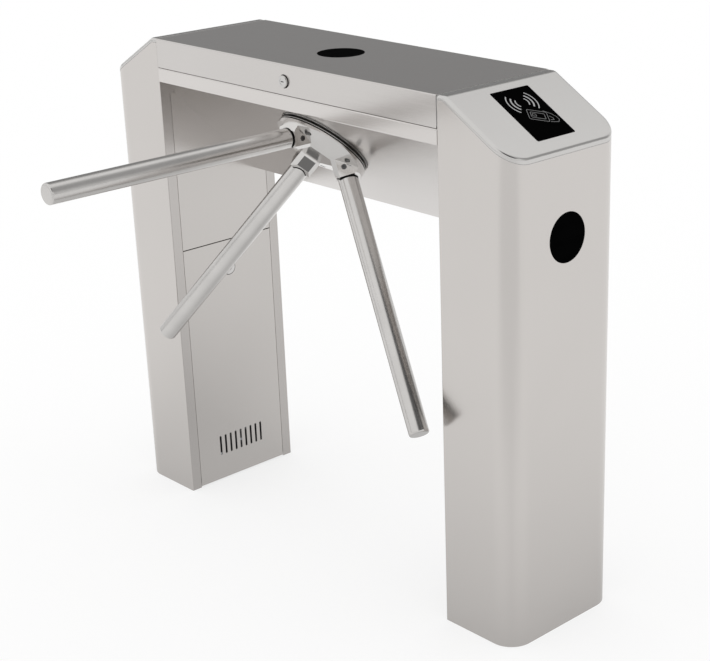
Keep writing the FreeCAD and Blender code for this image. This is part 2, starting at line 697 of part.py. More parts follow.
def lock_cam(length):
    """Tongue on the plug's end, pointing along +X."""
    points = rectangle(-CAM_HALF, CAM_LENGTH, -CAM_HALF, CAM_HALF)
    tongue = prism(points, "xy", -length - CAM_THICKNESS, CAM_THICKNESS, [CAM_CORNER] * 4)
    tail = LOCK_TAIL_HALF + LOCK_PLUG_FIT
    return tongue.cut(block(-tail, tail, -tail, tail, -length - CAM_THICKNESS - 1, -length + 1))


def on_door(shape):
    """Place a lock piece on the right-hand door: key side towards the passage, cam level at rest."""
    copy = shape.copy()
    copy.rotate(Vector(0, 0, 0), Vector(0, 0, 1), 90)
    copy.rotate(Vector(0, 0, 0), Vector(0, 1, 0), -90)
    copy.translate(Vector(LEG_IN, 0, DOOR_LOCK_Z))
    return copy


def on_lid(shape):
    """Place a lock piece on the lid's front: key side forward, cam hanging at rest."""
    copy = shape.copy()
    copy.rotate(Vector(0, 0, 0), Vector(0, 0, 1), -90)
    copy.rotate(Vector(0, 0, 0), Vector(1, 0, 0), 90)
    copy.translate(Vector(0, -HALF_DEPTH, LID_LOCK_Z))
    return copy


# Bridge


def bridge_path():
    """Outer face of the bridge's body, from the strip's top flange round to the rear wall's top."""
    front = -HALF_DEPTH
    return [(front + STRIP_FLANGE, STRIP_TOP), (front, STRIP_TOP), (front, LIP_Z), (LEDGE_Y, LIP_Z),
            (SLANT_END_Y, SLANT_END_Z), (HALF_DEPTH, SLANT_END_Z), (HALF_DEPTH, STRIP_TOP)]


def bridge_body():
    """Folded body of the bridge with the rotor's hole and the strike for the lid's lock."""
    body = folded(bridge_path(), BRIDGE_SHEET, "yz", -LEG_IN, PASSAGE)
    hole = Part.makeCylinder(FACE_HOLE, 4 * BRIDGE_SHEET, Vector(0, 0, -2 * BRIDGE_SHEET))
    y0 = STRIKE_BACK - HALF_DEPTH
    post = block(STRIKE_NEAR, STRIKE_FAR, y0, y0 + STRIKE_SHEET, STRIP_TOP, STRIKE_Z)
    tab = block(STRIKE_NEAR, STRIKE_FAR, y0, STRIKE_REACH - HALF_DEPTH, STRIKE_Z, STRIKE_Z + STRIKE_SHEET)
    return joined([body.cut(on_rotor(hole)), post, tab])


def end_plate():
    """Right-hand end of the bridge: a plate inside the fold, bolted to the leg."""
    inner = offset_path(bridge_path(), BRIDGE_SHEET + END_PLATE_FIT)
    points = inner[1:-1] + [inner[-1]]
    plate = prism(points, "yz", LEG_IN - END_PLATE, END_PLATE)
    start = (LEG_IN - 2 * END_PLATE, CABLE_PASS_Y, CABLE_PASS_Z)
    return plate.cut(rod(CABLE_PASS_RADIUS, start, (1, 0, 0), 3 * END_PLATE))


def lid():
    """Folded lid between the legs, with holes for its window and lock."""
    low = HEIGHT - LID_APRON
    path = [(-HALF_DEPTH, low), (-HALF_DEPTH, HEIGHT), (HALF_DEPTH, HEIGHT), (HALF_DEPTH, low)]
    sheet = folded(path, -SHEET, "yz", -LEG_IN + SEAM, PASSAGE - 2 * SEAM)
    window = Part.makeCylinder(INDICATOR_RADIUS + WINDOW_FIT, 4 * SHEET, Vector(0, 0, HEIGHT - 2 * SHEET))
    lock = rod(LOCK_BODY_RADIUS + LOCK_BODY_FIT, (0, -HALF_DEPTH - 1, LID_LOCK_Z), (0, 1, 0), SHEET + 2)
    return sheet.cut(window).cut(lock)


def hinge_axis():
    """Centre of the lid's hinge pins, seen along X."""
    return HALF_DEPTH + HINGE_BARREL, HEIGHT - LID_APRON - SEAM / 2


def hinge_leaf(upper):
    """One leaf with its knuckles, centred on X = 0; the upper one carries the middle knuckle."""
    y, z = hinge_axis()
    third = HINGE_LENGTH / 3
    half_gap = HINGE_KNUCKLE_GAP / 2
    middle = [(-third / 2 + half_gap, third / 2 - half_gap)]
    sides = [(-HINGE_LENGTH / 2, -third / 2 - half_gap), (third / 2 + half_gap, HINGE_LENGTH / 2)]
    way = 1 if upper else -1
    near, far = z + way * SEAM, z + way * (HINGE_BARREL + HINGE_LEAF_HEIGHT)
    pieces = [block(-HINGE_LENGTH / 2, HINGE_LENGTH / 2, HALF_DEPTH, HALF_DEPTH + HINGE_LEAF,
                    z + way * (HINGE_BARREL + SEAM), far)]
    for x0, x1 in middle if upper else sides:
        pieces.append(rod(HINGE_BARREL, (x0, y, z), (1, 0, 0), x1 - x0))
        pieces.append(block(x0, x1, HALF_DEPTH, HALF_DEPTH + HINGE_LEAF, near, far))
    leaf = joined(pieces)
    return leaf.cut(rod(HINGE_PIN + HINGE_FIT, (-HINGE_LENGTH, y, z), (1, 0, 0), 2 * HINGE_LENGTH))


def hinge_pin():
    """Pin through one hinge."""
    y, z = hinge_axis()
    return rod(HINGE_PIN, (-HINGE_LENGTH / 2, y, z), (1, 0, 0), HINGE_LENGTH)


def pair(shape):
    """Two copies, one at each lid hinge."""
    copies = []
    for x in (-HINGE_AT, HINGE_AT):
        copy = shape.copy()
        copy.translate(Vector(x, 0, 0))
        copies.append(copy)
    return Part.makeCompound(copies)


# Rotor with its arms, drawn with Z out along the axis from the slanted face


def escutcheon():
    """Fixed collar on the slanted face, round the shaft's flange and behind the turning disc."""
    ring = tube(ESCUTCHEON_RADIUS, FACE_HOLE, 0, ESCUTCHEON)
    rim = [e for e in ring.Edges if e.BoundBox.ZMin > ESCUTCHEON / 2 and e.BoundBox.XMax > FACE_HOLE + 1]
    return ring.makeChamfer(ESCUTCHEON_CHAMFER, rim)


def head_screw_places():
    """Angles of the screws that hold the head to its disc."""
    return [-i * 360 / ARM_COUNT + side * HEAD_SCREW_ANGLE for i in range(ARM_COUNT) for side in (-1, 1)]


def rotor_disc():
    """Turning disc between the shaft's flange and the head, set in from the head's rim."""
    disc = tube(ROTOR_RADIUS - DISC_INSET, SHAFT_RADIUS + SHAFT_FIT, DISC_BACK, HEAD_BACK)
    for angle in head_screw_places():
        hole = Part.makeCylinder(SCREW_RADIUS + SHAFT_FIT, 2 * HEAD_BACK, Vector(0, HEAD_SCREW_CIRCLE, 0))
        disc = disc.cut(turned(hole, angle))
    return disc


def arm_section():
    """Bevelled section of a socket, as a long bar in the arm's frame; its front faces -Y."""
    side, front, bevel = SOCKET_HALF, SOCKET_FRONT, SOCKET_BEVEL
    points = [(-side, REACH), (-side, bevel - front), (bevel - side, -front),
              (side - bevel, -front), (side, bevel - front), (side, REACH)]
    return prism(points, "xy", -REACH, 2 * REACH)


def arm_point(along, front):
    """Point of a socket's side view: distance along the arm and towards its front, as radius and height."""
    angle = math.radians(ARM_ANGLE)
    radius = along * math.sin(angle) - front * math.cos(angle)
    return radius, along * math.cos(angle) + front * math.sin(angle) - APEX_BACK


def socket_body():
    """One faceted socket of the head, reaching from the nose to its square end."""
    inner = arm_point(SOCKET_FRONT_START, SOCKET_FRONT)
    profile = [(0, HEAD_BACK), (ROTOR_RADIUS, HEAD_BACK), (ROTOR_RADIUS, SOCKET_SKIRT),
               arm_point(SOCKET_END, SOCKET_TIP_BACK), arm_point(SOCKET_END, SOCKET_TIP_FRONT),
               arm_point(SOCKET_FRONT_END, SOCKET_FRONT), inner, (0, inner[1])]
    slab = prism(profile, "yz", -SOCKET_HALF, 2 * SOCKET_HALF)
    bar = arm_section()
    bar.rotate(Vector(0, 0, 0), Vector(1, 0, 0), -ARM_ANGLE)
    bar.translate(Vector(0, 0, -APEX_BACK))
    body = slab.common(bar)
    return body.common(Part.makeCylinder(ROTOR_RADIUS, REACH, Vector(0, 0, HEAD_BACK)))


def head_core():
    """Round middle of the head: three faces fall from the flat nose to the rim."""
    core = Part.makeCylinder(ROTOR_RADIUS, NOSE_HEIGHT - HEAD_BACK, Vector(0, 0, HEAD_BACK))
    for i in range(ARM_COUNT):
        half_space = block(-REACH, REACH, -REACH, REACH, 0, REACH)
        half_space.rotate(Vector(0, 0, 0), Vector(1, 0, 0), -FACET_ANGLE)
        half_space.translate(Vector(0, NOSE_APOTHEM, NOSE_HEIGHT))
        core = core.cut(turned(half_space, -(i + 0.5) * 360 / ARM_COUNT))
    return core


def rotor_head():
    """Cast head: core and three sockets with a stub for each arm, drilled for the screws."""
    sockets = [turned(socket_body(), -i * 360 / ARM_COUNT) for i in range(ARM_COUNT)]
    head = joined([head_core()] + sockets)
    for i in range(ARM_COUNT):
        bore = Part.makeCylinder(ARM_RADIUS + ARM_SOCKET_FIT, ARM_LENGTH, Vector(0, 0, SOCKET_START))
        stub_radius = ARM_RADIUS - ARM_WALL - SPIGOT_FIT
        stub = Part.makeCylinder(stub_radius, SPIGOT_END - SOCKET_START, Vector(0, 0, SOCKET_START))
        cross = rod(SCREW_RADIUS + SCREW_FIT, (-SOCKET_HALF, 0, ARM_SCREW_AT), (1, 0, 0), 2 * SOCKET_HALF)
        head = joined([head.cut(on_arm(bore, i)), on_arm(stub, i)]).cut(on_arm(cross, i))
        depth = ARM_SCREW_HEAD_HEIGHT + ARM_SCREW_RECESS
        for side in (-1, 1):
            start = side * (SOCKET_HALF - depth)
            head = head.cut(on_arm(rod(COUNTERBORE, (start, 0, ARM_SCREW_AT), (side, 0, 0), SOCKET_HALF), i))
    for angle in head_screw_places():
        shank = Part.makeCylinder(SCREW_RADIUS + SCREW_FIT, REACH, Vector(0, HEAD_SCREW_CIRCLE, 0))
        seat = Part.makeCylinder(COUNTERBORE, REACH, Vector(0, HEAD_SCREW_CIRCLE, HEAD_SCREW_SEAT))
        head = head.cut(turned(joined([shank, seat]), angle))
    return head


def hex_socket(at):
    """Hexagonal key hole, open both ways from a height."""
    return prism(hexagon(HEX_KEY), "xy", at - HEX_KEY_DEPTH, 2 * HEX_KEY_DEPTH)


def head_screws():
    """Six socket screws through the head into its disc."""
    screws = []
    for angle in head_screw_places():
        top = HEAD_SCREW_SEAT + SCREW_HEAD_HEIGHT
        shank = Part.makeCylinder(SCREW_RADIUS, HEAD_SCREW_SEAT - DISC_BACK, Vector(0, 0, DISC_BACK))
        cap = Part.makeCylinder(SCREW_HEAD, SCREW_HEAD_HEIGHT, Vector(0, 0, HEAD_SCREW_SEAT))
        screw = joined([shank, cap]).cut(hex_socket(top))
        screw.translate(Vector(0, HEAD_SCREW_CIRCLE, 0))
        screws.append(on_rotor(turned(screw, angle)))
    return Part.makeCompound(screws)


def arm_screws():
    """One cross screw through each socket and arm, with a low head at both ends."""
    screws = []
    end = SOCKET_HALF - ARM_SCREW_RECESS
    for i in range(ARM_COUNT):
        screw = Part.makeCylinder(SCREW_RADIUS, 2 * end, Vector(0, 0, -end))
        for z in (-end, end - ARM_SCREW_HEAD_HEIGHT):
            screw = screw.fuse(Part.makeCylinder(SCREW_HEAD, ARM_SCREW_HEAD_HEIGHT, Vector(0, 0, z)))
        screw = screw.removeSplitter().cut(hex_socket(end)).cut(hex_socket(-end))
        screw.rotate(Vector(0, 0, 0), Vector(0, 1, 0), 90)
        screw.translate(Vector(0, 0, ARM_SCREW_AT))
        screws.append(on_rotor(on_arm(screw, i)))
    return Part.makeCompound(screws)


def arm_tube(number):
    """One arm: a round tube from its socket's floor to the end cap."""
    start = SOCKET_START + SOCKET_FLOOR_GAP
    pipe = tube(ARM_RADIUS, ARM_RADIUS - ARM_WALL, start, ARM_LENGTH - ARM_CAP)
    cross = rod(SCREW_RADIUS + SCREW_FIT, (-ARM_RADIUS - 1, 0, ARM_SCREW_AT), (1, 0, 0), 2 * ARM_RADIUS + 2)
    return on_rotor(on_arm(pipe.cut(cross), number))


def arm_end_caps():
    """Rounded plug in each arm's tip."""
    caps = []
    for i in range(ARM_COUNT):
        foot = ARM_LENGTH - ARM_CAP
        cap = Part.makeCylinder(ARM_RADIUS, ARM_CAP, Vector(0, 0, foot))
        rim = [e for e in cap.Edges if e.BoundBox.ZMin > ARM_LENGTH - 0.01]
        cap = cap.makeFillet(ARM_CAP_ROUND, rim)
        plug = Part.makeCylinder(ARM_RADIUS - ARM_WALL - PLUG_FIT, CAP_PLUG, Vector(0, 0, foot - CAP_PLUG))
        caps.append(on_rotor(on_arm(joined([cap, plug]), i)))
    return Part.makeCompound(caps)


# Drive, lock and sensor, in the rotor's frame behind the slanted face


def main_shaft():
    """Shaft with its front flange, running in two bearings."""
    flange = Part.makeCylinder(SHAFT_FLANGE, DISC_BACK - SHAFT_FLANGE_BACK, Vector(0, 0, SHAFT_FLANGE_BACK))
    shoulder_end = PLATE_FACE - BEARING_SETBACK
    shoulder = Part.makeCylinder(SHAFT_SHOULDER, SHAFT_FLANGE_BACK - shoulder_end, Vector(0, 0, shoulder_end))
    core = Part.makeCylinder(SHAFT_RADIUS, HEAD_BACK - SHAFT_END, Vector(0, 0, SHAFT_END))
    return on_rotor(joined([flange, shoulder, core]))


def mechanism_plate():
    """Plate on the back of the slanted face that carries the drive."""
    points = rectangle(-MECH_HALF_X, MECH_HALF_X, -MECH_REAR, MECH_FRONT)
    plate = prism(points, "xy", PLATE_FACE, MECH_PLATE, [MECH_CORNER] * 4)
    return on_rotor(plate.cut(Part.makeCylinder(BEARING_RADIUS, REACH, Vector(0, 0, -REACH / 2))))


def bearing_places():
    """Front heights of the two bearings."""
    front = PLATE_FACE - BEARING_SETBACK
    rear = HOUSING_END + BEARING_SETBACK + BEARING_WIDTH
    return front, rear


def bearing_housing():
    """Flanged barrel with a seat for a bearing at each end."""
    back = Vector(0, 0, PLATE_FACE - HOUSING_FLANGE)
    flange = Part.makeCylinder(HOUSING_FLANGE_RADIUS, HOUSING_FLANGE, back)
    barrel = Part.makeCylinder(HOUSING_RADIUS, HOUSING_LENGTH, Vector(0, 0, HOUSING_END))
    bore = Part.makeCylinder(SHAFT_SHOULDER + BEARING_RACE, REACH, Vector(0, 0, -REACH / 2))
    housing = joined([flange, barrel]).cut(bore)
    front, rear = bearing_places()
    for low, high in ((front - BEARING_WIDTH, PLATE_FACE + 1), (HOUSING_END - 1, rear)):
        housing = housing.cut(Part.makeCylinder(BEARING_RADIUS + BEARING_FIT, high - low, Vector(0, 0, low)))
    return on_rotor(housing)


def shaft_bearings():
    """Two sealed ball bearings, each with its shields sunk between the races."""
    bearings = []
    for front in bearing_places():
        back = front - BEARING_WIDTH
        ring = tube(BEARING_RADIUS, SHAFT_RADIUS + SHAFT_FIT, back, front)
        inner, outer = SHAFT_RADIUS + BEARING_RACE, BEARING_RADIUS - BEARING_RACE
        for low in (back, front - BEARING_GROOVE):
            ring = ring.cut(tube(outer, inner, low, low + BEARING_GROOVE))
        bearings.append(on_rotor(ring))
    return Part.makeCompound(bearings)


def gear_outline(teeth):
    """Closed outline of a spur gear: flanks follow the involute between base and tip circles."""
    pitch = GEAR_MODULE * teeth / 2
    pressure = math.radians(PRESSURE_ANGLE)
    base = pitch * math.cos(pressure)
    tip, root = pitch + GEAR_MODULE, pitch - 1.25 * GEAR_MODULE
    half = math.pi / (2 * teeth) - GEAR_BACKLASH / (4 * pitch)
    start = max(base, root)
    steps = 3
    flank = []
    for k in range(steps + 1):
        radius = start + (tip - start) * k / steps
        roll = math.acos(min(base / radius, 1.0))
        lean = (math.tan(pressure) - pressure) - (math.tan(roll) - roll)
        flank.append((radius, half + lean))
    if root < start:
        flank.insert(0, (root, flank[0][1]))
    points = []
    for i in range(teeth):
        middle = 2 * math.pi * i / teeth
        sides = [(r, middle - a) for r, a in flank] + [(r, middle + a) for r, a in reversed(flank)]
        points += [(r * math.cos(a), r * math.sin(a)) for r, a in sides]
    return points


def drive_gear():
    """Large gear on the shaft, with the hub that spaces it from the lock wheel."""
    wheel = prism(gear_outline(GEAR_TEETH), "xy", GEAR_BACK, GEAR_WIDTH)
    hub = Part.makeCylinder(HUB_RADIUS, HOUSING_END - 1 - WHEEL_FRONT, Vector(0, 0, WHEEL_FRONT))
    return on_rotor(joined([wheel, hub]).cut(shaft_hole()))


def shaft_hole():
    """Bore of a piece that is fixed on the shaft."""
    return Part.makeCylinder(SHAFT_RADIUS + SHAFT_FIT, REACH, Vector(0, 0, -REACH))


def drive_pinion():
    """Pinion cut on the motor's output shaft, in mesh with the large gear."""
    teeth = prism(gear_outline(PINION_TEETH), "xy", GEAR_BACK, GEAR_WIDTH)
    gap_in_mesh = 180 + 180 / PINION_TEETH
    teeth = turned(teeth, gap_in_mesh)
    shaft_top = MOTOR_FRONT + MOTOR_SHAFT_DEPTH
    shaft = Part.makeCylinder(MOTOR_SHAFT, shaft_top - GEAR_BACK, Vector(0, 0, GEAR_BACK))
    pinion = joined([teeth, shaft])
    pinion.translate(Vector(GEAR_CENTRES, 0, 0))
    return on_rotor(pinion)


def gear_motor():
    """Flat motor on the plate, beside the bearing housing."""
    half = MOTOR_FLANGE_HALF
    corners = rectangle(-half, half, -half, half)
    flange = prism(corners, "xy", PLATE_FACE - MOTOR_FLANGE, MOTOR_FLANGE, [MECH_CORNER] * 4)
    body = Part.makeCylinder(MOTOR_RADIUS, MOTOR_LENGTH, Vector(0, 0, MOTOR_FRONT + MOTOR_BOSS))
    boss = Part.makeCylinder(MOTOR_BOSS_RADIUS, MOTOR_BOSS, Vector(0, 0, MOTOR_FRONT))
    hole = Part.makeCylinder(MOTOR_SHAFT + SHAFT_FIT, MOTOR_SHAFT_DEPTH + 1, Vector(0, 0, MOTOR_FRONT))
    motor = joined([flange, body, boss]).cut(hole)
    motor.translate(Vector(GEAR_CENTRES, 0, 0))
    return on_rotor(motor)


def lock_wheel():
    """Notched wheel; one notch faces the bolt at rest and after each sixth of a turn."""
    wheel = Part.makeCylinder(LOCK_WHEEL_RADIUS, LOCK_WHEEL, Vector(0, 0, WHEEL_BACK))
    hub = Part.makeCylinder(HUB_RADIUS, WHEEL_FRONT - DISC_FRONT, Vector(0, 0, DISC_FRONT))
    wheel = joined([wheel, hub])
    for i in range(NOTCH_COUNT):
        notch = block(-NOTCH_WIDTH / 2, NOTCH_WIDTH / 2, NOTCH_DEPTH - LOCK_WHEEL_RADIUS, -REACH,
                      WHEEL_BACK - 1, WHEEL_FRONT + 1)
        wheel = wheel.cut(turned(notch, i * 360 / NOTCH_COUNT))
    return on_rotor(wheel.cut(shaft_hole()))


def bolt_tip():
    """Place of the withdrawn bolt's tip along the rotor frame's Y."""
    return -LOCK_WHEEL_RADIUS - BOLT_STANDOFF


def lock_bolt():
    """Sliding bolt with a rounded tip that enters a notch."""
    bolt = Part.makeCylinder(BOLT_RADIUS, BOLT_LENGTH)
    tip = [e for e in bolt.Edges if e.BoundBox.ZMin > BOLT_LENGTH - 0.01]
    bolt = bolt.makeChamfer(BOLT_RADIUS / 4, tip)
    bolt.rotate(Vector(0, 0, 0), Vector(1, 0, 0), -90)
    bolt.translate(Vector(0, bolt_tip() - BOLT_LENGTH, (WHEEL_FRONT + WHEEL_BACK) / 2))
    return on_rotor(bolt)


def lock_solenoid():
    """Coil box on two posts, bored for the bolt."""
    middle = (WHEEL_FRONT + WHEEL_BACK) / 2
    front = bolt_tip() - SOLENOID_NOSE
    back = front - SOLENOID_LENGTH
    top = middle + SOLENOID_HALF_Z
    box = block(-SOLENOID_HALF_X, SOLENOID_HALF_X, back, front, middle - SOLENOID_HALF_Z, top)
    posts = []
    for y in (back + 2 * SOLENOID_POST, front - 2 * SOLENOID_POST):
        posts.append(Part.makeCylinder(SOLENOID_POST, PLATE_FACE - top, Vector(0, y, top)))
    bore = rod(BOLT_RADIUS + BOLT_FIT, (0, back - 1, middle), (0, 1, 0), SOLENOID_LENGTH + 2)
    return on_rotor(joined([box] + posts).cut(bore))


def sensor_disc():
    """Slotted disc that the position sensor reads."""
    disc = Part.makeCylinder(SENSOR_DISC_RADIUS, SENSOR_DISC, Vector(0, 0, NUT_FRONT)).cut(shaft_hole())
    for i in range(ARM_COUNT):
        slot = block(-SENSOR_SLOT_WIDTH / 2, SENSOR_SLOT_WIDTH / 2, SENSOR_DISC_RADIUS - SENSOR_SLOT_DEPTH,
                     REACH, NUT_FRONT - 1, DISC_FRONT + 1)
        disc = disc.cut(turned(slot, i * 360 / ARM_COUNT))
    return on_rotor(disc)


def position_sensor():
    """Fork on a post, with its jaws over the slotted disc's edge."""
    near = GEAR_TIP + SENSOR_POST_GAP
    reach = SENSOR_DISC_RADIUS - SENSOR_REACH
    upper = DISC_FRONT + SENSOR_JAW_GAP
    lower = NUT_FRONT - SENSOR_JAW_GAP
    post = block(-SENSOR_HALF, SENSOR_HALF, near, near + SENSOR_POST, lower - SENSOR_JAW, PLATE_FACE)
    jaws = [block(-SENSOR_HALF, SENSOR_HALF, reach, near, upper, upper + SENSOR_JAW),
            block(-SENSOR_HALF, SENSOR_HALF, reach, near, lower, lower - SENSOR_JAW)]
    return on_rotor(joined([post] + jaws))


def shaft_nut():
    """Six-sided nut on the shaft's end."""
    return on_rotor(prism(hexagon(NUT_RADIUS), "xy", NUT_FRONT - NUT_HEIGHT, NUT_HEIGHT).cut(shaft_hole()))


# Electrics


def power_supply():
    """Cased supply on the rear wall with a terminal strip along its top."""
    wall = HALF_DEPTH - BRIDGE_SHEET
    x0 = -ELECTRICS_AT - SUPPLY_LENGTH / 2
    x1 = x0 + SUPPLY_LENGTH
    top = ELECTRICS_BOTTOM + SUPPLY_HEIGHT
    case = block(x0, x1, wall - SUPPLY_DEPTH, wall, ELECTRICS_BOTTOM, top)
    ledge = wall - SUPPLY_DEPTH / 2
    step = block(x0 - 1, x1 + 1, wall - SUPPLY_DEPTH - 1, ledge, top - TERMINAL_HEIGHT, top + 1)
    strip = block(x0 + TERMINAL_HEIGHT, x1 - TERMINAL_HEIGHT, ledge - TERMINAL_DEPTH, ledge,
                  top - TERMINAL_HEIGHT, top - TERMINAL_HEIGHT / 3)
    return joined([case.cut(step), strip])


def control_board():
    """Control board on four standoffs with terminals, a processor and relays."""
    wall = HALF_DEPTH - BRIDGE_SHEET
    face = wall - STANDOFF - BOARD
    x0 = ELECTRICS_AT - CONTROL_LENGTH / 2
    x1 = x0 + CONTROL_LENGTH
    z0, z1 = ELECTRICS_BOTTOM, ELECTRICS_BOTTOM + CONTROL_HEIGHT
    pieces = [block(x0, x1, face, face + BOARD, z0, z1)]
    for x in (x0 + STANDOFF_INSET, x1 - STANDOFF_INSET):
        for z in (z0 + STANDOFF_INSET, z1 - STANDOFF_INSET):
            pieces.append(rod(STANDOFF_RADIUS, (x, face + BOARD, z), (0, 1, 0), STANDOFF))
    edge = 2 * STANDOFF_INSET
    pieces.append(block(x0 + edge, x1 - edge, face - TERMINAL_DEPTH, face, z0, z0 + TERMINAL_HEIGHT))
    middle_x, middle_z = (x0 + x1) / 2, (z0 + z1) / 2
    pieces.append(block(middle_x - CHIP_SIDE / 2, middle_x + CHIP_SIDE / 2, face - CHIP_DEPTH, face,
                        middle_z - CHIP_SIDE / 2, middle_z + CHIP_SIDE / 2))
    for k in range(RELAY_COUNT):
        start = x0 + edge + k * RELAY_PITCH
        pieces.append(block(start, start + RELAY_LENGTH, face - RELAY_DEPTH, face,
                            z1 - edge - RELAY_DEPTH, z1 - edge))
    return joined(pieces)


def in_lid(shape):
    """Move a round-window piece to the middle of the lid."""
    copy = shape.copy()
    copy.translate(Vector(0, 0, HEIGHT))
    return copy


def save(name, shape):
    """Write one piece, or group of like pieces, under its name."""
    if not shape.isValid():
        raise ValueError(name + " is not a valid solid")
    shape.exportStep("parts/" + name + ".step")
    print(name, len(shape.Solids), round(shape.Volume))


def main():
    """Build every piece and write it."""
    os.makedirs("parts", exist_ok=True)
    leg = {
        "leg_shell": leg_shell(),
        "leg_cap": leg_cap(),
        "reader_window": reader_window(),
        "card_reader": card_reader(),
        "end_window": to_end_wall(round_window()),
        "end_light_board": to_end_wall(light_board()),
        "inner_panel": inner_panel(),
        "access_door": access_door(),
        "door_lock_housing": on_door(lock_housing(DOOR_LOCK_FLANGE, DOOR_LOCK_PROUD, DOOR_LOCK_ROUND,
                                                  DOOR_LOCK_LENGTH)),
        "door_lock_plug": on_door(lock_plug(DOOR_LOCK_PROUD, DOOR_LOCK_LENGTH)),
        "door_lock_cam": on_door(lock_cam(DOOR_LOCK_LENGTH)),
        "base_plate": base_plate(),
        "bridge_end_plate": end_plate(),
    }
    for name, piece in leg.items():
        save("right_" + name, piece)
        save("left_" + name, mirrored(piece))
    bridge = {
        "bridge_body": bridge_body(),
        "lid": lid(),
        "lid_window": in_lid(round_window()),
        "lid_light_board": in_lid(light_board()),
        "lid_lock_housing": on_lid(lock_housing(LID_LOCK_FLANGE, LID_LOCK_PROUD, LID_LOCK_ROUND,
                                                LID_LOCK_LENGTH)),
        "lid_lock_plug": on_lid(lock_plug(LID_LOCK_PROUD, LID_LOCK_LENGTH)),
        "lid_lock_cam": on_lid(lock_cam(LID_LOCK_LENGTH)),
        "body_hinge_leaves": pair(hinge_leaf(False)),
        "lid_hinge_leaves": pair(hinge_leaf(True)),
        "lid_hinge_pins": pair(hinge_pin()),
        "power_supply": power_supply(),
        "control_board": control_board(),
    }
    rotor = {
        "escutcheon": on_rotor(escutcheon()),
        "rotor_disc": on_rotor(rotor_disc()),
        "rotor_head": on_rotor(rotor_head()),
        "head_screws": head_screws(),
        "arm_screws": arm_screws(),
        "arm_end_caps": arm_end_caps(),
        "main_shaft": main_shaft(),
        "mechanism_plate": mechanism_plate(),
        "bearing_housing": bearing_housing(),
        "shaft_bearings": shaft_bearings(),
        "drive_gear": drive_gear(),
        "drive_pinion": drive_pinion(),
        "gear_motor": gear_motor(),
        "lock_wheel": lock_wheel(),
        "lock_bolt": lock_bolt(),
        "lock_solenoid": lock_solenoid(),
        "sensor_disc": sensor_disc(),
        "position_sensor": position_sensor(),
        "shaft_nut": shaft_nut(),
    }
    for number in range(ARM_COUNT):
        rotor["arm_tube_" + str(number + 1)] = arm_tube(number)
    for name, piece in {**bridge, **rotor}.items():
        save(name, piece)


main()
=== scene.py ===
"""Tripod turnstile, bridge type: finishes, small trim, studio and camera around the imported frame."""
import json
import logging
import math
from dataclasses import dataclass
from enum import Enum
from itertools import product
from typing import Iterable, Sequence

import bmesh
import bpy
from mathutils import Matrix, Vector


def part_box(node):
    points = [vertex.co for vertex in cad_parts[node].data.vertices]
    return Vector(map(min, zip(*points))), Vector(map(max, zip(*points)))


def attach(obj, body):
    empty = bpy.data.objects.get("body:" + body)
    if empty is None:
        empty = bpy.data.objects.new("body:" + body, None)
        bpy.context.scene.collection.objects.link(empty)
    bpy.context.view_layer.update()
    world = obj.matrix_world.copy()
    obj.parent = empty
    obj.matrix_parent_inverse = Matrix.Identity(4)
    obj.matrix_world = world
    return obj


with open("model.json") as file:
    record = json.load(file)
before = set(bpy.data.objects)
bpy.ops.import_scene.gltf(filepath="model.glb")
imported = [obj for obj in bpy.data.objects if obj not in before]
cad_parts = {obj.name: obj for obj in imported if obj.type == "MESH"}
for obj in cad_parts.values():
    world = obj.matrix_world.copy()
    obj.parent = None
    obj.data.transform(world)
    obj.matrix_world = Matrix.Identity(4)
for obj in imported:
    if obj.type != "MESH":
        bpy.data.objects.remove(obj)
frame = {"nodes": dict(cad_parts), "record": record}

MM = 0.001
LOG = logging.getLogger("turnstile")
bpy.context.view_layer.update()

# Sizes, places and a direction that several pieces share, in millimetres and degrees
HALF_PASSAGE = 400.0
HALF_LENGTH = 570.0
HALF_DEPTH = 140.0
TOP = 1000.0
CAP_SLOPE = 30.0
ROTOR_POINT = (0.0, -53.806, 834.206)
ROTOR_TILT = 45.0
ROTOR_AXIS = (0.0, -0.70711, -0.70711)
ARMS = 3

# Part of a noise field that holds most of its values, and share of the finer octaves in it
FIELD_MIDDLE = (0.25, 0.75)
FIELD_ROUGHNESS = 0.55

# Straight steps at a small rounded corner
CORNER_STEPS = 6

Pair = tuple[float, float]
Triple = tuple[float, float, float]
Colour = Triple
Socket = bpy.types.NodeSocket


def mm(*values: float) -> Vector:
    """Point or length given in millimetres, in metres."""
    return Vector([value * MM for value in values])


class Side(Enum):
    """The two legs, by the sign of X."""

    RIGHT = 1
    LEFT = -1

    @property
    def label(self) -> str:
        """Word that starts the names of this leg's nodes."""
        return self.name.lower()


class Grain(Enum):
    """Brush marks of a metal face, as noise scales along X, Y and Z."""

    ALONG_X = (3.0, 420.0, 420.0)
    UPRIGHT = (420.0, 420.0, 3.0)


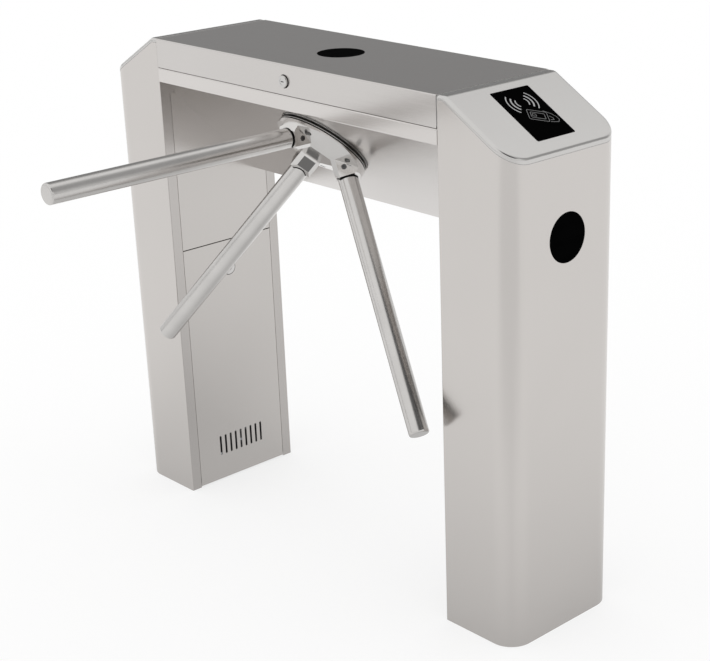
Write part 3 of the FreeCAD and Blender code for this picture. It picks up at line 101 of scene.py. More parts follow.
class Wiring:
    """Short ways to add nodes to one node tree."""

    def __init__(self, tree: bpy.types.NodeTree) -> None:
        """Work on a tree.

        Args:
            tree: the node tree.
        """
        self.tree = tree

    def node(self, kind: str, **settings: str) -> bpy.types.Node:
        """Add a node.

        Args:
            kind: the node's type.
            settings: its named options.

        Returns:
            The new node.
        """
        made = self.tree.nodes.new(kind)
        for name, value in settings.items():
            setattr(made, name, value)
        return made

    def feed(self, target: Socket, value: float | Colour | Socket) -> None:
        """Set or link one input.

        Args:
            target: the input.
            value: a number, a colour or the output that drives it.
        """
        if isinstance(value, Socket):
            self.tree.links.new(value, target)
        else:
            target.default_value = (*value, 1.0) if isinstance(value, tuple) else value

    def math(self, operation: str, *values: float | Socket) -> Socket:
        """One sum.

        Args:
            operation: its name.
            values: what goes in.

        Returns:
            Output with the result.
        """
        made = self.node("ShaderNodeMath", operation=operation)
        for target, value in zip(made.inputs, values):
            self.feed(target, value)
        return made.outputs["Value"]

    def ramp(self, value: Socket, limits: Sequence[float], results: Sequence[float],
             soft: bool = True) -> Socket:
        """Step between two levels.

        Args:
            value: what is mapped.
            limits: start and end of the step.
            results: level before and after it.
            soft: whether the step's ends are eased.

        Returns:
            Output with the level.
        """
        made = self.node("ShaderNodeMapRange", interpolation_type="SMOOTHSTEP" if soft else "LINEAR")
        for name, number in zip(("From Min", "From Max", "To Min", "To Max"), (*limits, *results)):
            made.inputs[name].default_value = number
        self.feed(made.inputs["Value"], value)
        return made.outputs["Result"]

    def against(self, operation: str, vector: Socket, fixed: Sequence[float]) -> Socket:
        """Compare a vector with a fixed one.

        Args:
            operation: DOT_PRODUCT or DISTANCE.
            vector: the vector.
            fixed: the fixed one.

        Returns:
            Output with the result.
        """
        made = self.node("ShaderNodeVectorMath", operation=operation)
        made.inputs[1].default_value = fixed
        self.feed(made.inputs[0], vector)
        return made.outputs["Value"]


class Painter(Wiring):
    """Node tree of one material around a Principled shader."""

    def __init__(self, name: str) -> None:
        """Start an empty material.

        Args:
            name: name of the material.
        """
        self.material = bpy.data.materials.new(name)
        self.material.use_nodes = True
        super().__init__(self.material.node_tree)
        self.shader = self.tree.nodes["Principled BSDF"]
        self.place = self.node("ShaderNodeTexCoord").outputs["Object"]

    def plug(self, socket: str, value: float | Colour | Socket) -> None:
        """Set or link one input of the shader.

        Args:
            socket: the input's name.
            value: a number, a colour or the output that drives it.
        """
        self.feed(self.shader.inputs[socket], value)

    def along(self, output: str, way: Sequence[float]) -> Socket:
        """Share of a texture coordinate along a direction."""
        return self.against("DOT_PRODUCT", self.node("ShaderNodeTexCoord").outputs[output], way)

    def stretched(self, scale: Sequence[float]) -> Socket:
        """Place of a surface point, stretched.

        Args:
            scale: factors along X, Y and Z.

        Returns:
            Output with the stretched place.
        """
        made = self.node("ShaderNodeMapping")
        made.inputs["Scale"].default_value = tuple(scale)
        self.feed(made.inputs["Vector"], self.place)
        return made.outputs["Vector"]

    def noise(self, scale: Sequence[float], detail: float) -> Socket:
        """Soft random field.

        Args:
            scale: cycles per metre along X, Y and Z.
            detail: octaves.

        Returns:
            Output from 0 to 1.
        """
        made = self.node("ShaderNodeTexNoise")
        for name, number in (("Scale", 1.0), ("Detail", detail), ("Roughness", FIELD_ROUGHNESS)):
            made.inputs[name].default_value = number
        self.feed(made.inputs["Vector"], self.stretched(scale))
        return made.outputs["Fac"]

    def cells(self, scale: float) -> Socket:
        """Random value for each cell of a crystal-like field.

        Args:
            scale: cells per metre.

        Returns:
            Output from 0 to 1.
        """
        made = self.node("ShaderNodeTexVoronoi")
        made.inputs["Scale"].default_value = 1.0
        self.feed(made.inputs["Vector"], self.stretched((scale,) * 3))
        split = self.node("ShaderNodeSeparateColor")
        self.feed(split.inputs["Color"], made.outputs["Color"])
        return split.outputs["Red"]

    def spread(self, value: Socket, low: float, high: float) -> Socket:
        """Map the middle of a 0 to 1 field to a range."""
        return self.ramp(value, FIELD_MIDDLE, (low, high), soft=False)

    def tint(self, value: Socket, dark: Colour | Socket, light: Colour) -> Socket:
        """Mix two colours by a field.

        Args:
            value: the field.
            dark: colour at its low end, plain or from another mix.
            light: colour at its high end.

        Returns:
            Output with the colour.
        """
        made = self.node("ShaderNodeMix", data_type="RGBA")
        self.feed(made.inputs["A"], dark)
        self.feed(made.inputs["B"], light)
        self.feed(made.inputs["Factor"], self.spread(value, 0.0, 1.0))
        return made.outputs["Result"]

    def relief(self, height: Socket, strength: float, depth: float) -> None:
        """Give the surface a fine relief.

        Args:
            height: field with the relief.
            strength: share of it that shows.
            depth: its depth in metres.
        """
        made = self.node("ShaderNodeBump")
        made.inputs["Strength"].default_value = strength
        made.inputs["Distance"].default_value = depth
        self.feed(made.inputs["Height"], height)
        self.plug("Normal", made.outputs["Normal"])


def shade(colour: Colour, factor: float) -> Colour:
    """Colour made lighter or darker by a factor."""
    return tuple(min(1.0, part * factor) for part in colour)


@dataclass(frozen=True)
class Finish:
    """Surface finish, made into a material once and then shared."""

    name: str
    colour: Colour
    roughness: float

    def paint(self, painter: Painter) -> None:
        """Fill in the material's nodes; each kind of finish has its own way.

        Args:
            painter: the material to fill.
        """
        raise NotImplementedError

    def varied(self, painter: Painter, field: Socket, factors: Pair) -> Socket:
        """Colour that varies with a field.

        Args:
            painter: the material to fill.
            field: what the colour varies with.
            factors: lightness at the field's two ends.

        Returns:
            Output with the colour.
        """
        low, high = factors
        return painter.tint(field, shade(self.colour, low), shade(self.colour, high))

    def roughen(self, painter: Painter, field: Socket, swing: float) -> None:
        """Let the roughness vary with a field.

        Args:
            painter: the material to fill.
            field: what the roughness varies with.
            swing: how far it goes up and down.
        """
        painter.plug("Roughness", painter.spread(field, self.roughness - swing, self.roughness + swing))

    def material(self) -> bpy.types.Material:
        """Material of this finish, made on first use.

        Returns:
            The shared material.
        """
        label = f"{self.name}_finish"
        made = bpy.data.materials.get(label)
        if made is None:
            painter = Painter(label)
            self.paint(painter)
            made = painter.material
        return made


@dataclass(frozen=True)
class BrushedSteel(Finish):
    """Stainless sheet with fine brush marks and faint clouding; `passage` is the way that faces with painted
    shade look.
    """

    grain: Grain = Grain.UPRIGHT
    passage: float = 0.0
    # How dark the painted shade on faces towards the passage is, and where it starts and ends
    painted_shade: float = 0.84
    painted_shade_limits: Pair = (0.8, 0.97)
    marks: float = 0.03
    depth: float = 0.00002
    strength: float = 0.12
    cloud_scale: float = 3.0
    clouding: Pair = (0.985, 1.015)

    def paint(self, painter: Painter) -> None:
        """Brush marks in roughness and relief, clouding in colour, and painted shade on faces that look along
        the passage.

        Args:
            painter: the material to fill.
        """
        marks = painter.noise(self.grain.value, detail=4.0)
        cloud = painter.noise((self.cloud_scale,) * 3, detail=2.0)
        colour = self.varied(painter, cloud, self.clouding)
        # Faces that look into the passage are darkened: painted shade
        if self.passage:
            across = painter.along("Normal", (self.passage, 0.0, 0.0))
            inner = painter.ramp(across, self.painted_shade_limits, (0.0, 1.0))
            colour = painter.tint(inner, colour, shade(self.colour, self.painted_shade))
        painter.plug("Metallic", 1.0)
        painter.plug("Base Color", colour)
        self.roughen(painter, marks, self.marks)
        painter.relief(marks, self.strength, self.depth)


@dataclass(frozen=True)
class TurnedMetal(Finish):
    """Machined or polished metal with fine even tool marks."""

    marks: float = 0.04
    scale: float = 900.0
    depth: float = 0.00001
    strength: float = 0.1
    stain_scale: float = 14.0
    stains: Pair = (0.94, 1.05)

    def surface_colour(self, painter: Painter) -> Socket:
        """Colour with faint stains.

        Args:
            painter: the material to fill.

        Returns:
            Output with the colour.
        """
        cloud = painter.noise((self.stain_scale,) * 3, detail=3.0)
        return self.varied(painter, cloud, self.stains)

    def tooled(self, painter: Painter) -> None:
        """Tool marks in roughness and relief.

        Args:
            painter: the material to fill.
        """
        marks = painter.noise((self.scale,) * 3, detail=4.0)
        self.roughen(painter, marks, self.marks)
        painter.relief(marks, self.strength, self.depth)

    def paint(self, painter: Painter) -> None:
        """Metal with tool marks and faint stains.

        Args:
            painter: the material to fill.
        """
        painter.plug("Metallic", 1.0)
        painter.plug("Base Color", self.surface_colour(painter))
        self.tooled(painter)


@dataclass(frozen=True)
class CastHead(TurnedMetal):
    """Polished casting with three sockets, each with painted shade on the facet towards the axis."""

    first: Triple = (0.0, -0.70711, 0.70711)
    start: float = 0.035
    edge: float = 0.004
    inward_limits: Pair = (0.93, 0.98)
    # How dark the painted shade on each facet is
    dark: float = 0.22

    def surface_colour(self, painter: Painter) -> Socket:
        """Stained colour, with painted shade on the three facets.

        Args:
            painter: the material to fill.

        Returns:
            Output with the colour.
        """
        colour = super().surface_colour(painter)
        axis = Vector(ROTOR_AXIS)
        for number in range(ARMS):
            way = Matrix.Rotation(math.tau * number / ARMS, 3, axis) @ Vector(self.first)
            begin = way.dot(mm(*ROTOR_POINT)) + self.start
            towards = painter.along("Normal", (axis - way).normalized())
            inward = painter.ramp(towards, self.inward_limits, (0.0, 1.0))
            beyond = painter.ramp(painter.along("Object", way), (begin, begin + self.edge), (0.0, 1.0))
            # Painted shade on the facet of this socket that looks towards the axis
            facet = painter.math("MULTIPLY", inward, beyond)
            colour = painter.tint(facet, colour, shade(self.colour, self.dark))
        return colour


@dataclass(frozen=True)
class CellSheet(Finish):
    """Sheet that changes from cell to cell: crystals of zinc, or copper areas under lacquer."""

    metal: float = 1.0
    scale: float = 140.0
    tones: Pair = (0.88, 1.1)
    swing: float = 0.08
    strength: float = 0.0
    depth: float = 0.00003

    def paint(self, painter: Painter) -> None:
        """Cells in colour and roughness, and in relief where it has a strength.

        Args:
            painter: the material to fill.
        """
        cells = painter.cells(self.scale)
        painter.plug("Metallic", self.metal)
        painter.plug("Base Color", self.varied(painter, cells, self.tones))
        self.roughen(painter, cells, self.swing)
        if self.strength:
            painter.relief(cells, self.strength, self.depth)


@dataclass(frozen=True)
class Coating(Finish):
    """Paint, powder coat or moulded plastic with a fine relief."""

    gloss: float = 0.3
    scale: float = 900.0
    depth: float = 0.0001
    ior: float = 1.5
    strength: float = 0.25
    cloud_scale: float = 18.0
    clouding: Pair = (0.9, 1.1)
    swing: float = 0.15

    def paint(self, painter: Painter) -> None:
        """Fine relief, with faint variation in colour and roughness.

        Args:
            painter: the material to fill.
        """
        grain = painter.noise((self.scale,) * 3, detail=2.0)
        cloud = painter.noise((self.cloud_scale,) * 3, detail=2.0)
        painter.plug("IOR", self.ior)
        painter.plug("Specular IOR Level", self.gloss)
        painter.plug("Base Color", self.varied(painter, cloud, self.clouding))
        self.roughen(painter, grain, self.swing * self.roughness)
        painter.relief(grain, self.strength, self.depth)


@dataclass(frozen=True)
class SmokedPane(Finish):
    """Black pane with faint wipe marks."""

    ior: float = 1.02
    wipe_scale: Triple = (60.0, 12.0, 60.0)
    dust: Pair = (0.7, 1.3)
    swing: float = 0.06

    def paint(self, painter: Painter) -> None:
        """Wipe marks in roughness, a trace of dust in colour.

        Args:
            painter: the material to fill.
        """
        wipes = painter.noise(self.wipe_scale, detail=3.0)
        painter.plug("IOR", self.ior)
        painter.plug("Base Color", self.varied(painter, wipes, self.dust))
        self.roughen(painter, wipes, self.swing)


@dataclass(frozen=True)
class RimmedDisc(TurnedMetal):
    """Bright turned disc with a black coated rim; `band` is where the coat ends, along the axis."""

    rim: Colour = (0.003, 0.003, 0.003)
    rim_ior: float = 1.06
    band: Pair = (-0.5483, -0.5480)
    flat_limits: Pair = (0.4, 0.8)

    def paint(self, painter: Painter) -> None:
        """Black on the front part of the rim, turned metal elsewhere.

        Args:
            painter: the material to fill.
        """
        upright = painter.math("ABSOLUTE", painter.along("Normal", ROTOR_AXIS))
        flat = painter.ramp(upright, self.flat_limits, (0.0, 1.0))
        behind = painter.ramp(painter.along("Object", ROTOR_AXIS), self.band, (1.0, 0.0))
        bright = painter.math("MAXIMUM", flat, behind)
        painter.plug("IOR", self.rim_ior)
        painter.plug("Metallic", bright)
        painter.plug("Base Color", painter.tint(bright, self.rim, self.colour))
        self.tooled(painter)


LEG_STEEL = BrushedSteel("leg_steel", (0.615, 0.588, 0.567), 0.2)
# Leg shells: copies of the leg steel with painted shade on the faces towards the passage
LEFT_STEEL = BrushedSteel("left_leg_steel", LEG_STEEL.colour, 0.2, passage=1.0)
RIGHT_STEEL = BrushedSteel("right_leg_steel", LEG_STEEL.colour, 0.2, passage=-1.0)
PANEL_STEEL = BrushedSteel("panel_steel", (0.572, 0.548, 0.528), 0.2)
BRIDGE_STEEL = BrushedSteel("bridge_steel", (0.675, 0.649, 0.63), 0.2, Grain.ALONG_X)
LID_STEEL = BrushedSteel("lid_steel", (0.615, 0.592, 0.575), 0.2, Grain.ALONG_X)
CAP_STEEL = BrushedSteel("cap_steel", (0.60, 0.588, 0.575), 0.2, Grain.ALONG_X)
ARM_POLISH = TurnedMetal("arm_polish", (0.61, 0.595, 0.58), 0.24)
HEAD_POLISH = TurnedMetal("head_polish", (0.66, 0.645, 0.63), 0.16)
HEAD_CAST = CastHead("head_cast", HEAD_POLISH.colour, HEAD_POLISH.roughness)
BLACK_PANE = SmokedPane("black_pane", (0.0012, 0.0012, 0.0012), 0.5)
BLACK_DISC = RimmedDisc("black_disc", (0.6, 0.59, 0.58), 0.3)
# Dark rubber of real seals, also used for dark pieces of painted shade at locks, key ways and sockets
DARK_RUBBER_AND_SHADE = Coating("dark_rubber_and_shade", (0.006, 0.006, 0.006), 0.6, gloss=0.5, ior=1.08)
EDGE_RUBBER = Coating("edge_rubber", (0.4, 0.395, 0.39), 0.7, gloss=0.5, ior=1.1)
CHROME = TurnedMetal("lock_chrome", (0.60, 0.59, 0.58), 0.12)
SCREW_STEEL = TurnedMetal("screw_steel", (0.11, 0.11, 0.11), 0.3)
BOLT_ZINC = TurnedMetal("bolt_zinc", (0.55, 0.56, 0.58), 0.22)
HINGE_STEEL = TurnedMetal("hinge_steel", (0.50, 0.48, 0.46), 0.26)
MACHINED = TurnedMetal("machined_steel", (0.48, 0.47, 0.46), 0.24)
ZINC = CellSheet("zinc_steel", (0.52, 0.53, 0.55), 0.36)
ALLOY = TurnedMetal("housing_alloy", (0.60, 0.60, 0.60), 0.42, marks=0.08, scale=500.0, depth=0.00008)
SENSOR_PLASTIC = Coating("sensor_plastic", (0.03, 0.03, 0.032), 0.5)
MOTOR_BLACK = Coating("motor_black", (0.028, 0.028, 0.03), 0.42, gloss=0.4, scale=700.0, depth=0.00015)
SUPPLY_CASE = CellSheet("supply_case", (0.58, 0.58, 0.56), 0.42)
BOARD_GREEN = CellSheet("board_green", (0.012, 0.11, 0.045), 0.38, metal=0.0, scale=420.0, tones=(0.6, 1.35),
                        strength=0.15)
READER_PLASTIC = Coating("reader_plastic", (0.045, 0.045, 0.05), 0.5)
PANE_INK = Coating("pane_ink", (0.42, 0.42, 0.42), 0.6, gloss=0.5, ior=1.08)
PALE_INK = Coating("pale_ink", (0.17, 0.17, 0.17), 0.6, gloss=0.5, ior=1.08)

SLOT_FINISH: dict[str, Finish] = {finish.name: finish for finish in (
    BLACK_PANE, BLACK_DISC, CHROME, SCREW_STEEL, HINGE_STEEL, MACHINED, ZINC, ALLOY, SENSOR_PLASTIC,
    MOTOR_BLACK, SUPPLY_CASE, BOARD_GREEN, READER_PLASTIC)}
SLOT_FINISH |= {"body_steel": LEG_STEEL, "polished_steel": ARM_POLISH}
NODE_FINISH: dict[str, Finish] = {
    "bridge_body": BRIDGE_STEEL, "lid": LID_STEEL, "rotor_head": HEAD_CAST, "escutcheon": HEAD_POLISH,
    "left_leg_shell": LEFT_STEEL, "right_leg_shell": RIGHT_STEEL,
}
for leg in Side:
    NODE_FINISH[f"{leg.label}_leg_cap"] = CAP_STEEL
    NODE_FINISH[f"{leg.label}_inner_panel"] = PANEL_STEEL
    NODE_FINISH[f"{leg.label}_access_door"] = PANEL_STEEL


def mesh_piece(name: str, points: Iterable[Vector], faces: Iterable[Sequence[int]],
               finish: Finish) -> bpy.types.Object:
    """Mesh object in the part's frame.

    Args:
        name: name of the piece.
        points: corners in metres.
        faces: corner numbers of each face.
        finish: its finish.

    Returns:
        The new object.
    """
    mesh = bpy.data.meshes.new(name)
    mesh.from_pydata([tuple(point) for point in points], [], [tuple(face) for face in faces])
    work = bmesh.new()
    work.from_mesh(mesh)
    bmesh.ops.recalc_face_normals(work, faces=work.faces)
    work.to_mesh(mesh)
    work.free()
    mesh.materials.append(finish.material())
    piece = bpy.data.objects.new(name, mesh)
    bpy.context.scene.collection.objects.link(piece)
    return piece


@dataclass(frozen=True)
class HeadForm:
    """Screw head: round with a hexagon socket, or an outer hexagon.

    The shoulder, crown, middle, socket and depth are shares of the radius or the height.
    """

    radius: float
    height: float
    outer_hexagon: bool = False
    steps: int = 24
    socket: float = 0.5
    depth: float = 0.5
    shoulder: float = 0.7
    crown: float = 0.86
    middle: float = 0.2

    def ring(self, radius: float, level: float, hexagon: bool) -> list[Vector]:
        """One ring of points.

        Args:
            radius: its radius, to the corners of a hexagon.
            level: its height above the seat.
            hexagon: whether it is a hexagon.

        Returns:
            Points once round.
        """
        points = []
        for k in range(self.steps):
            angle = math.tau * k / self.steps
            off = (angle + math.pi / 6) % (math.pi / 3) - math.pi / 6
            reach = radius * (math.cos(math.pi / 6) / math.cos(abs(off) - math.pi / 6) if hexagon else 1.0)
            points.append(mm(reach * math.cos(angle), reach * math.sin(angle), level))
        return points

    def rings(self) -> list[list[Vector]]:
        """Rings from the seat over the crown, down into the socket.

        Returns:
            Rings of points in the head's own frame.
        """
        r, h, hexagon = self.radius, self.height, self.outer_hexagon
        outline = [(r, 0.0, hexagon), (r, self.shoulder * h, hexagon), (self.crown * r, h, False)]
        if hexagon:
            outline.append((self.middle * r, h, False))
        else:
            outline += [(self.socket * r, h, True), (self.socket * r, h * (1 - self.depth), True)]
        return [self.ring(*row) for row in outline]


class Shell:
    """Points and faces of several like forms, gathered into one mesh."""

    def __init__(self) -> None:
        """Start an empty mesh."""
        self.points: list[Vector] = []
        self.faces: list[tuple[int, ...]] = []

    def piece(self, name: str, finish: Finish, body: str, slot: str) -> None:
        """Make the mesh into a piece that rides on a body.

        Args:
            name: name of the piece.
            finish: its finish.
            body: the body that carries it.
            slot: the record's material slot; not used.
        """
        piece = mesh_piece(name, self.points, self.faces, finish)
        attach(piece, body)
        LOG.info("%s rides on %s", piece.name, body)

    def rings(self, rings: Sequence[Sequence[Vector]], looped: bool = False) -> "Shell":
        """Skin over rings of points.

        Args:
            rings: closed rings with the same number of points.
            looped: whether the last ring joins the first; otherwise both ends are closed.

        Returns:
            This mesh.
        """
        first, count = len(self.points), len(rings[0])
        for ring in rings:
            self.points.extend(ring)
        for row in range(len(rings) if looped else len(rings) - 1):
            a, b = first + row * count, first + (row + 1) % len(rings) * count
            for k in range(count):
                n = (k + 1) % count
                self.faces.append((a + k, a + n, b + n, b + k))
        if not looped:
            self.faces.append(tuple(range(first, first + count)))
            self.faces.append(tuple(range(len(self.points) - count, len(self.points))))
        return self

    def head(self, place: Matrix, form: HeadForm) -> None:
        """Add one screw head.

        Args:
            place: middle of its seat, with Z out of the surface.
            form: its sizes.
        """
        self.rings([[place @ point for point in ring] for ring in form.rings()])


class Ribbon(Shell):
    """Raised flat bands that follow lines on a plane."""

    MITRE_LIMIT = 0.4

    def __init__(self, place: Matrix, height: float) -> None:
        """Start an empty mesh.

        Args:
            place: plane's frame in the part's frame.
            height: how far the bands stand up, in metres.
        """
        super().__init__()
        self.place = place
        self.height = height

    def band(self, line: Sequence[Vector], width: float, closed: bool = False) -> None:
        """Add one band.

        Args:
            line: middle line in the plane, in metres.
            width: the band's width.
            closed: whether the line returns to its start.
        """
        count = len(line)
        rings = []
        for index, point in enumerate(line):
            before = line[index - 1] if closed or index else point
            after = line[(index + 1) % count] if closed or index < count - 1 else point
            into, out = (point - before), (after - point)
            into = (into if into.length else out).normalized()
            out = (out if out.length else into).normalized()
            across = Vector((-(into + out).y, (into + out).x)).normalized()
            reach = width / 2 / max(self.MITRE_LIMIT, across.dot(Vector((-into.y, into.x))))
            ring = []
            for side, level in ((-1, 0.0), (1, 0.0), (1, self.height), (-1, self.height)):
                spot = point + across * side * reach
                ring.append(self.place @ Vector((spot.x, spot.y, level)))
            rings.append(ring)
        self.rings(rings, looped=closed)


def arc(centre: Vector, radius: float, start: float, end: float, steps: int) -> list[Vector]:
    """Points of an arc.

    Args:
        centre: its centre.
        radius: its radius.
        start: first angle in degrees.
        end: last angle in degrees.
        steps: number of straight steps.

    Returns:
        Points from start to end.
    """
    angles = [math.radians(start + (end - start) * i / steps) for i in range(steps + 1)]
    return [centre + radius * Vector((math.cos(a), math.sin(a))) for a in angles]


def facing(point: Sequence[float], out: Sequence[float]) -> Matrix:
    """Frame at a point given in millimetres, with Z along a direction."""
    return Matrix.Translation(mm(*point)) @ Vector(out).to_track_quat("Z", "Y").to_matrix().to_4x4()


def rounded(width: float, length: float, corner: float) -> list[Vector]:
    """Outline of a rounded rectangle about the origin.

    Args:
        width: size along the first direction.
        length: size along the second.
        corner: radius of its corners.

    Returns:
        Points once round.
    """
    x, y = width / 2 - corner, length / 2 - corner
    points: list[Vector] = []
    for turn, (sx, sy) in enumerate(((1, 1), (-1, 1), (-1, -1), (1, -1))):
        points += arc(Vector((sx * x, sy * y)), corner, 90 * turn, 90 * turn + 90, CORNER_STEPS)
    return points


@dataclass
class Cabinet:
    """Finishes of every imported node."""

    nodes: dict[str, bpy.types.Object]
    record: dict

    def dress(self) -> None:
        """Assign each node's finish to its object's material slots."""
        slots = {row["node"]: row["material_slot"] for row in self.record["subparts"]}
        for name, node in self.nodes.items():
            finish = NODE_FINISH.get(name, SLOT_FINISH[slots[name]])
            if not node.material_slots:
                node.data.materials.append(None)
            for slot in node.material_slots:
                slot.link = "OBJECT"
                slot.material = finish.material()
            LOG.info("%s has %s", name, finish.name)


@dataclass
class ReaderFace:
    """Plain sign on a reader's pane: two sets of waves above a hand with a card."""

    side: Side
    ridge: float = HALF_PASSAGE + 17.0
    start: float = 19.3
    length: float = 128.0
    proud: float = 0.3
    ink: float = 0.08
    wave_up: float = 27.5
    wave_apart: float = 3.0
    wave_reach: float = 48.0
    wave_steps: int = 18
    wave_lines: tuple[Pair, ...] = ((11.0, 2.4), (19.5, 3.0), (28.5, 2.2))
    card_at: Pair = (9.0, 5.0)
    card_turn: float = 63.0
    card_line: float = 1.2
    card_outer: Triple = (38.0, 25.0, 3.0)
    card_inner: Triple = (27.0, 14.0, 2.0)
    chip: Triple = (7.0, 6.0, 1.0)
    chip_shift: float = -7.0
    hand: tuple[Pair, ...] = ((13.0, 15.0), (27.0, 11.0), (36.0, 5.0), (40.0, -2.0), (37.0, -9.0),
                              (21.0, -12.0))
    thumb: tuple[Pair, ...] = ((22.0, 3.0), (28.0, 0.0), (29.0, -5.0), (22.0, -7.0))

    def plane(self) -> Matrix:
        """Frame of the pane's face: its middle, down the slope, along the front and out of the face.

        Returns:
            Matrix from the face to the part's frame.
        """
        tilt = math.radians(CAP_SLOPE)
        sign = self.side.value
        down = Vector((sign * math.cos(tilt), 0, -math.sin(tilt)))
        out = Vector((sign * math.sin(tilt), 0, math.cos(tilt)))
        along = out.cross(down)
        middle = mm(sign * self.ridge, 0, TOP) + down * (self.start + self.length / 2) * MM
        face_axes = Matrix((down, along, out)).transposed().to_4x4()
        return Matrix.Translation(middle + out * self.proud * MM) @ face_axes

    def build(self) -> None:
        """Make the waves and the card."""
        self.draw_waves()
        self.draw_card()

    def draw_waves(self) -> None:
        """Three arcs to each side of the pane's upper middle."""
        ribbon = Ribbon(self.plane(), self.ink * MM)
        for way in (-1, 1):
            centre = mm(-self.wave_up, way * self.wave_apart).to_2d()
            for radius, line in self.wave_lines:
                start, end = way * 90 - self.wave_reach, way * 90 + self.wave_reach
                ribbon.band(arc(centre, radius * MM, start, end, self.wave_steps), line * MM)
        ribbon.piece(f"{self.side.label}_reader_waves", PANE_INK, "cabinet", "reader_plastic")

    def draw_card(self) -> None:
        """Outline of a card with its chip, held by a simple hand."""
        ribbon = Ribbon(self.plane(), self.ink * MM)
        turn = Matrix.Rotation(math.radians(self.card_turn), 2)
        centre = mm(*self.card_at).to_2d()
        width = self.card_line * MM
        for sizes, shift in ((self.card_outer, 0.0), (self.card_inner, 0.0), (self.chip, self.chip_shift)):
            line = [centre + turn @ (point + mm(shift, 0).to_2d()) for point in rounded(*mm(*sizes))]
            ribbon.band(line, width, closed=True)
        for line in (self.hand, self.thumb):
            ribbon.band([centre + turn @ mm(*point).to_2d() for point in line], width)
        ribbon.piece(f"{self.side.label}_reader_card", PALE_INK, "cabinet", "reader_plastic")


@dataclass
class Rotor:
    """Screws of the mechanism behind the slanted face, and dark seals where the arms enter their sockets,
    which also paint the shade in that gap.
    """

    apex_back: float = 39.0
    seal: Pair = (19.04, 19.46)
    seal_start: float = 92.0
    seal_lip: float = 2.6
    seal_steps: int = 48
    mouth: float = 113.0
    mouth_front: float = 14.0
    front: float = 22.0
    front_end: float = 100.0
    plate_bolt: HeadForm = HeadForm(6.5, 4.0, True)
    plate_x: Pair = (-114.0, 114.0)
    plate_y: Pair = (71.0, -128.0)
    plate_back: float = -8.0
    housing_screw: HeadForm = HeadForm(3.0, 2.4)
    housing_count: int = 6
    housing_radius: float = 36.0
    housing_back: float = -16.0
    side_screw: HeadForm = HeadForm(3.5, 2.8)
    side_x: Pair = (50.0, 110.0)
    side_y: Pair = (-30.0, 30.0)
    side_back: float = -14.0

    def frame(self) -> Matrix:
        """Rotor's own frame: X along the bridge, Y up the slanted face and Z out of it."""
        return Matrix.Translation(mm(*ROTOR_POINT)) @ Matrix.Rotation(math.radians(90 + ROTOR_TILT), 4, "X")

    def behind(self, x: float, y: float, z: float) -> Matrix:
        """Place on the mechanism, facing into the bridge."""
        return self.frame() @ Matrix.Translation(mm(x, y, z)) @ Matrix.Rotation(math.pi, 4, "X")

    def arm(self, number: int) -> Matrix:
        """Frame of an arm: Z along it from the apex, front facing -Y.

        Args:
            number: which arm, from 0.

        Returns:
            Matrix from the arm to the part's frame.
        """
        turn = Matrix.Rotation(-math.tau * number / ARMS, 4, "Z")
        lean = Matrix.Rotation(-math.radians(ROTOR_TILT), 4, "X")
        return self.frame() @ turn @ Matrix.Translation(mm(0, 0, -self.apex_back)) @ lean

    def build(self) -> None:
        """Make the seals and the screws."""
        self.seals()
        plate, small = Shell(), Shell()
        for x, y in product(self.plate_x, self.plate_y):
            plate.head(self.behind(x, y, self.plate_back), self.plate_bolt)
        for k in range(self.housing_count):
            angle = math.tau * (k + 0.5) / self.housing_count
            x, y = self.housing_radius * math.cos(angle), self.housing_radius * math.sin(angle)
            small.head(self.behind(x, y, self.housing_back), self.housing_screw)
        for x, y in product(self.side_x, self.side_y):
            small.head(self.behind(x, y, self.side_back), self.side_screw)
        plate.piece("mechanism_plate_bolts", BOLT_ZINC, "cabinet", "screw_steel")
        small.piece("mechanism_screws", SCREW_STEEL, "cabinet", "screw_steel")

    def seals(self) -> None:
        """Dark sleeves with a lip round each arm in its socket; their black also paints the shade in the gap
        at the socket's mouth.
        """
        shell = Shell()
        inner, outer = self.seal
        for number in range(ARMS):
            place = self.arm(number)
            rows: list[list[Vector]] = [[], [], [], []]
            for k in range(self.seal_steps):
                angle = math.tau * k / self.seal_steps
                past = max(0.0, outer * math.cos(angle) - self.mouth_front) / (self.front - self.mouth_front)
                end = self.mouth - past * (self.mouth - self.front_end) + self.seal_lip
                corners = ((inner, self.seal_start), (outer, self.seal_start), (outer, end), (inner, end))
                for row, (radius, along) in zip(rows, corners):
                    row.append(place @ mm(radius * math.sin(angle), -radius * math.cos(angle), along))
            shell.rings(rows, looped=True)
        shell.piece("arm_seals_and_gap_shade", DARK_RUBBER_AND_SHADE, "tripod", "black_disc")


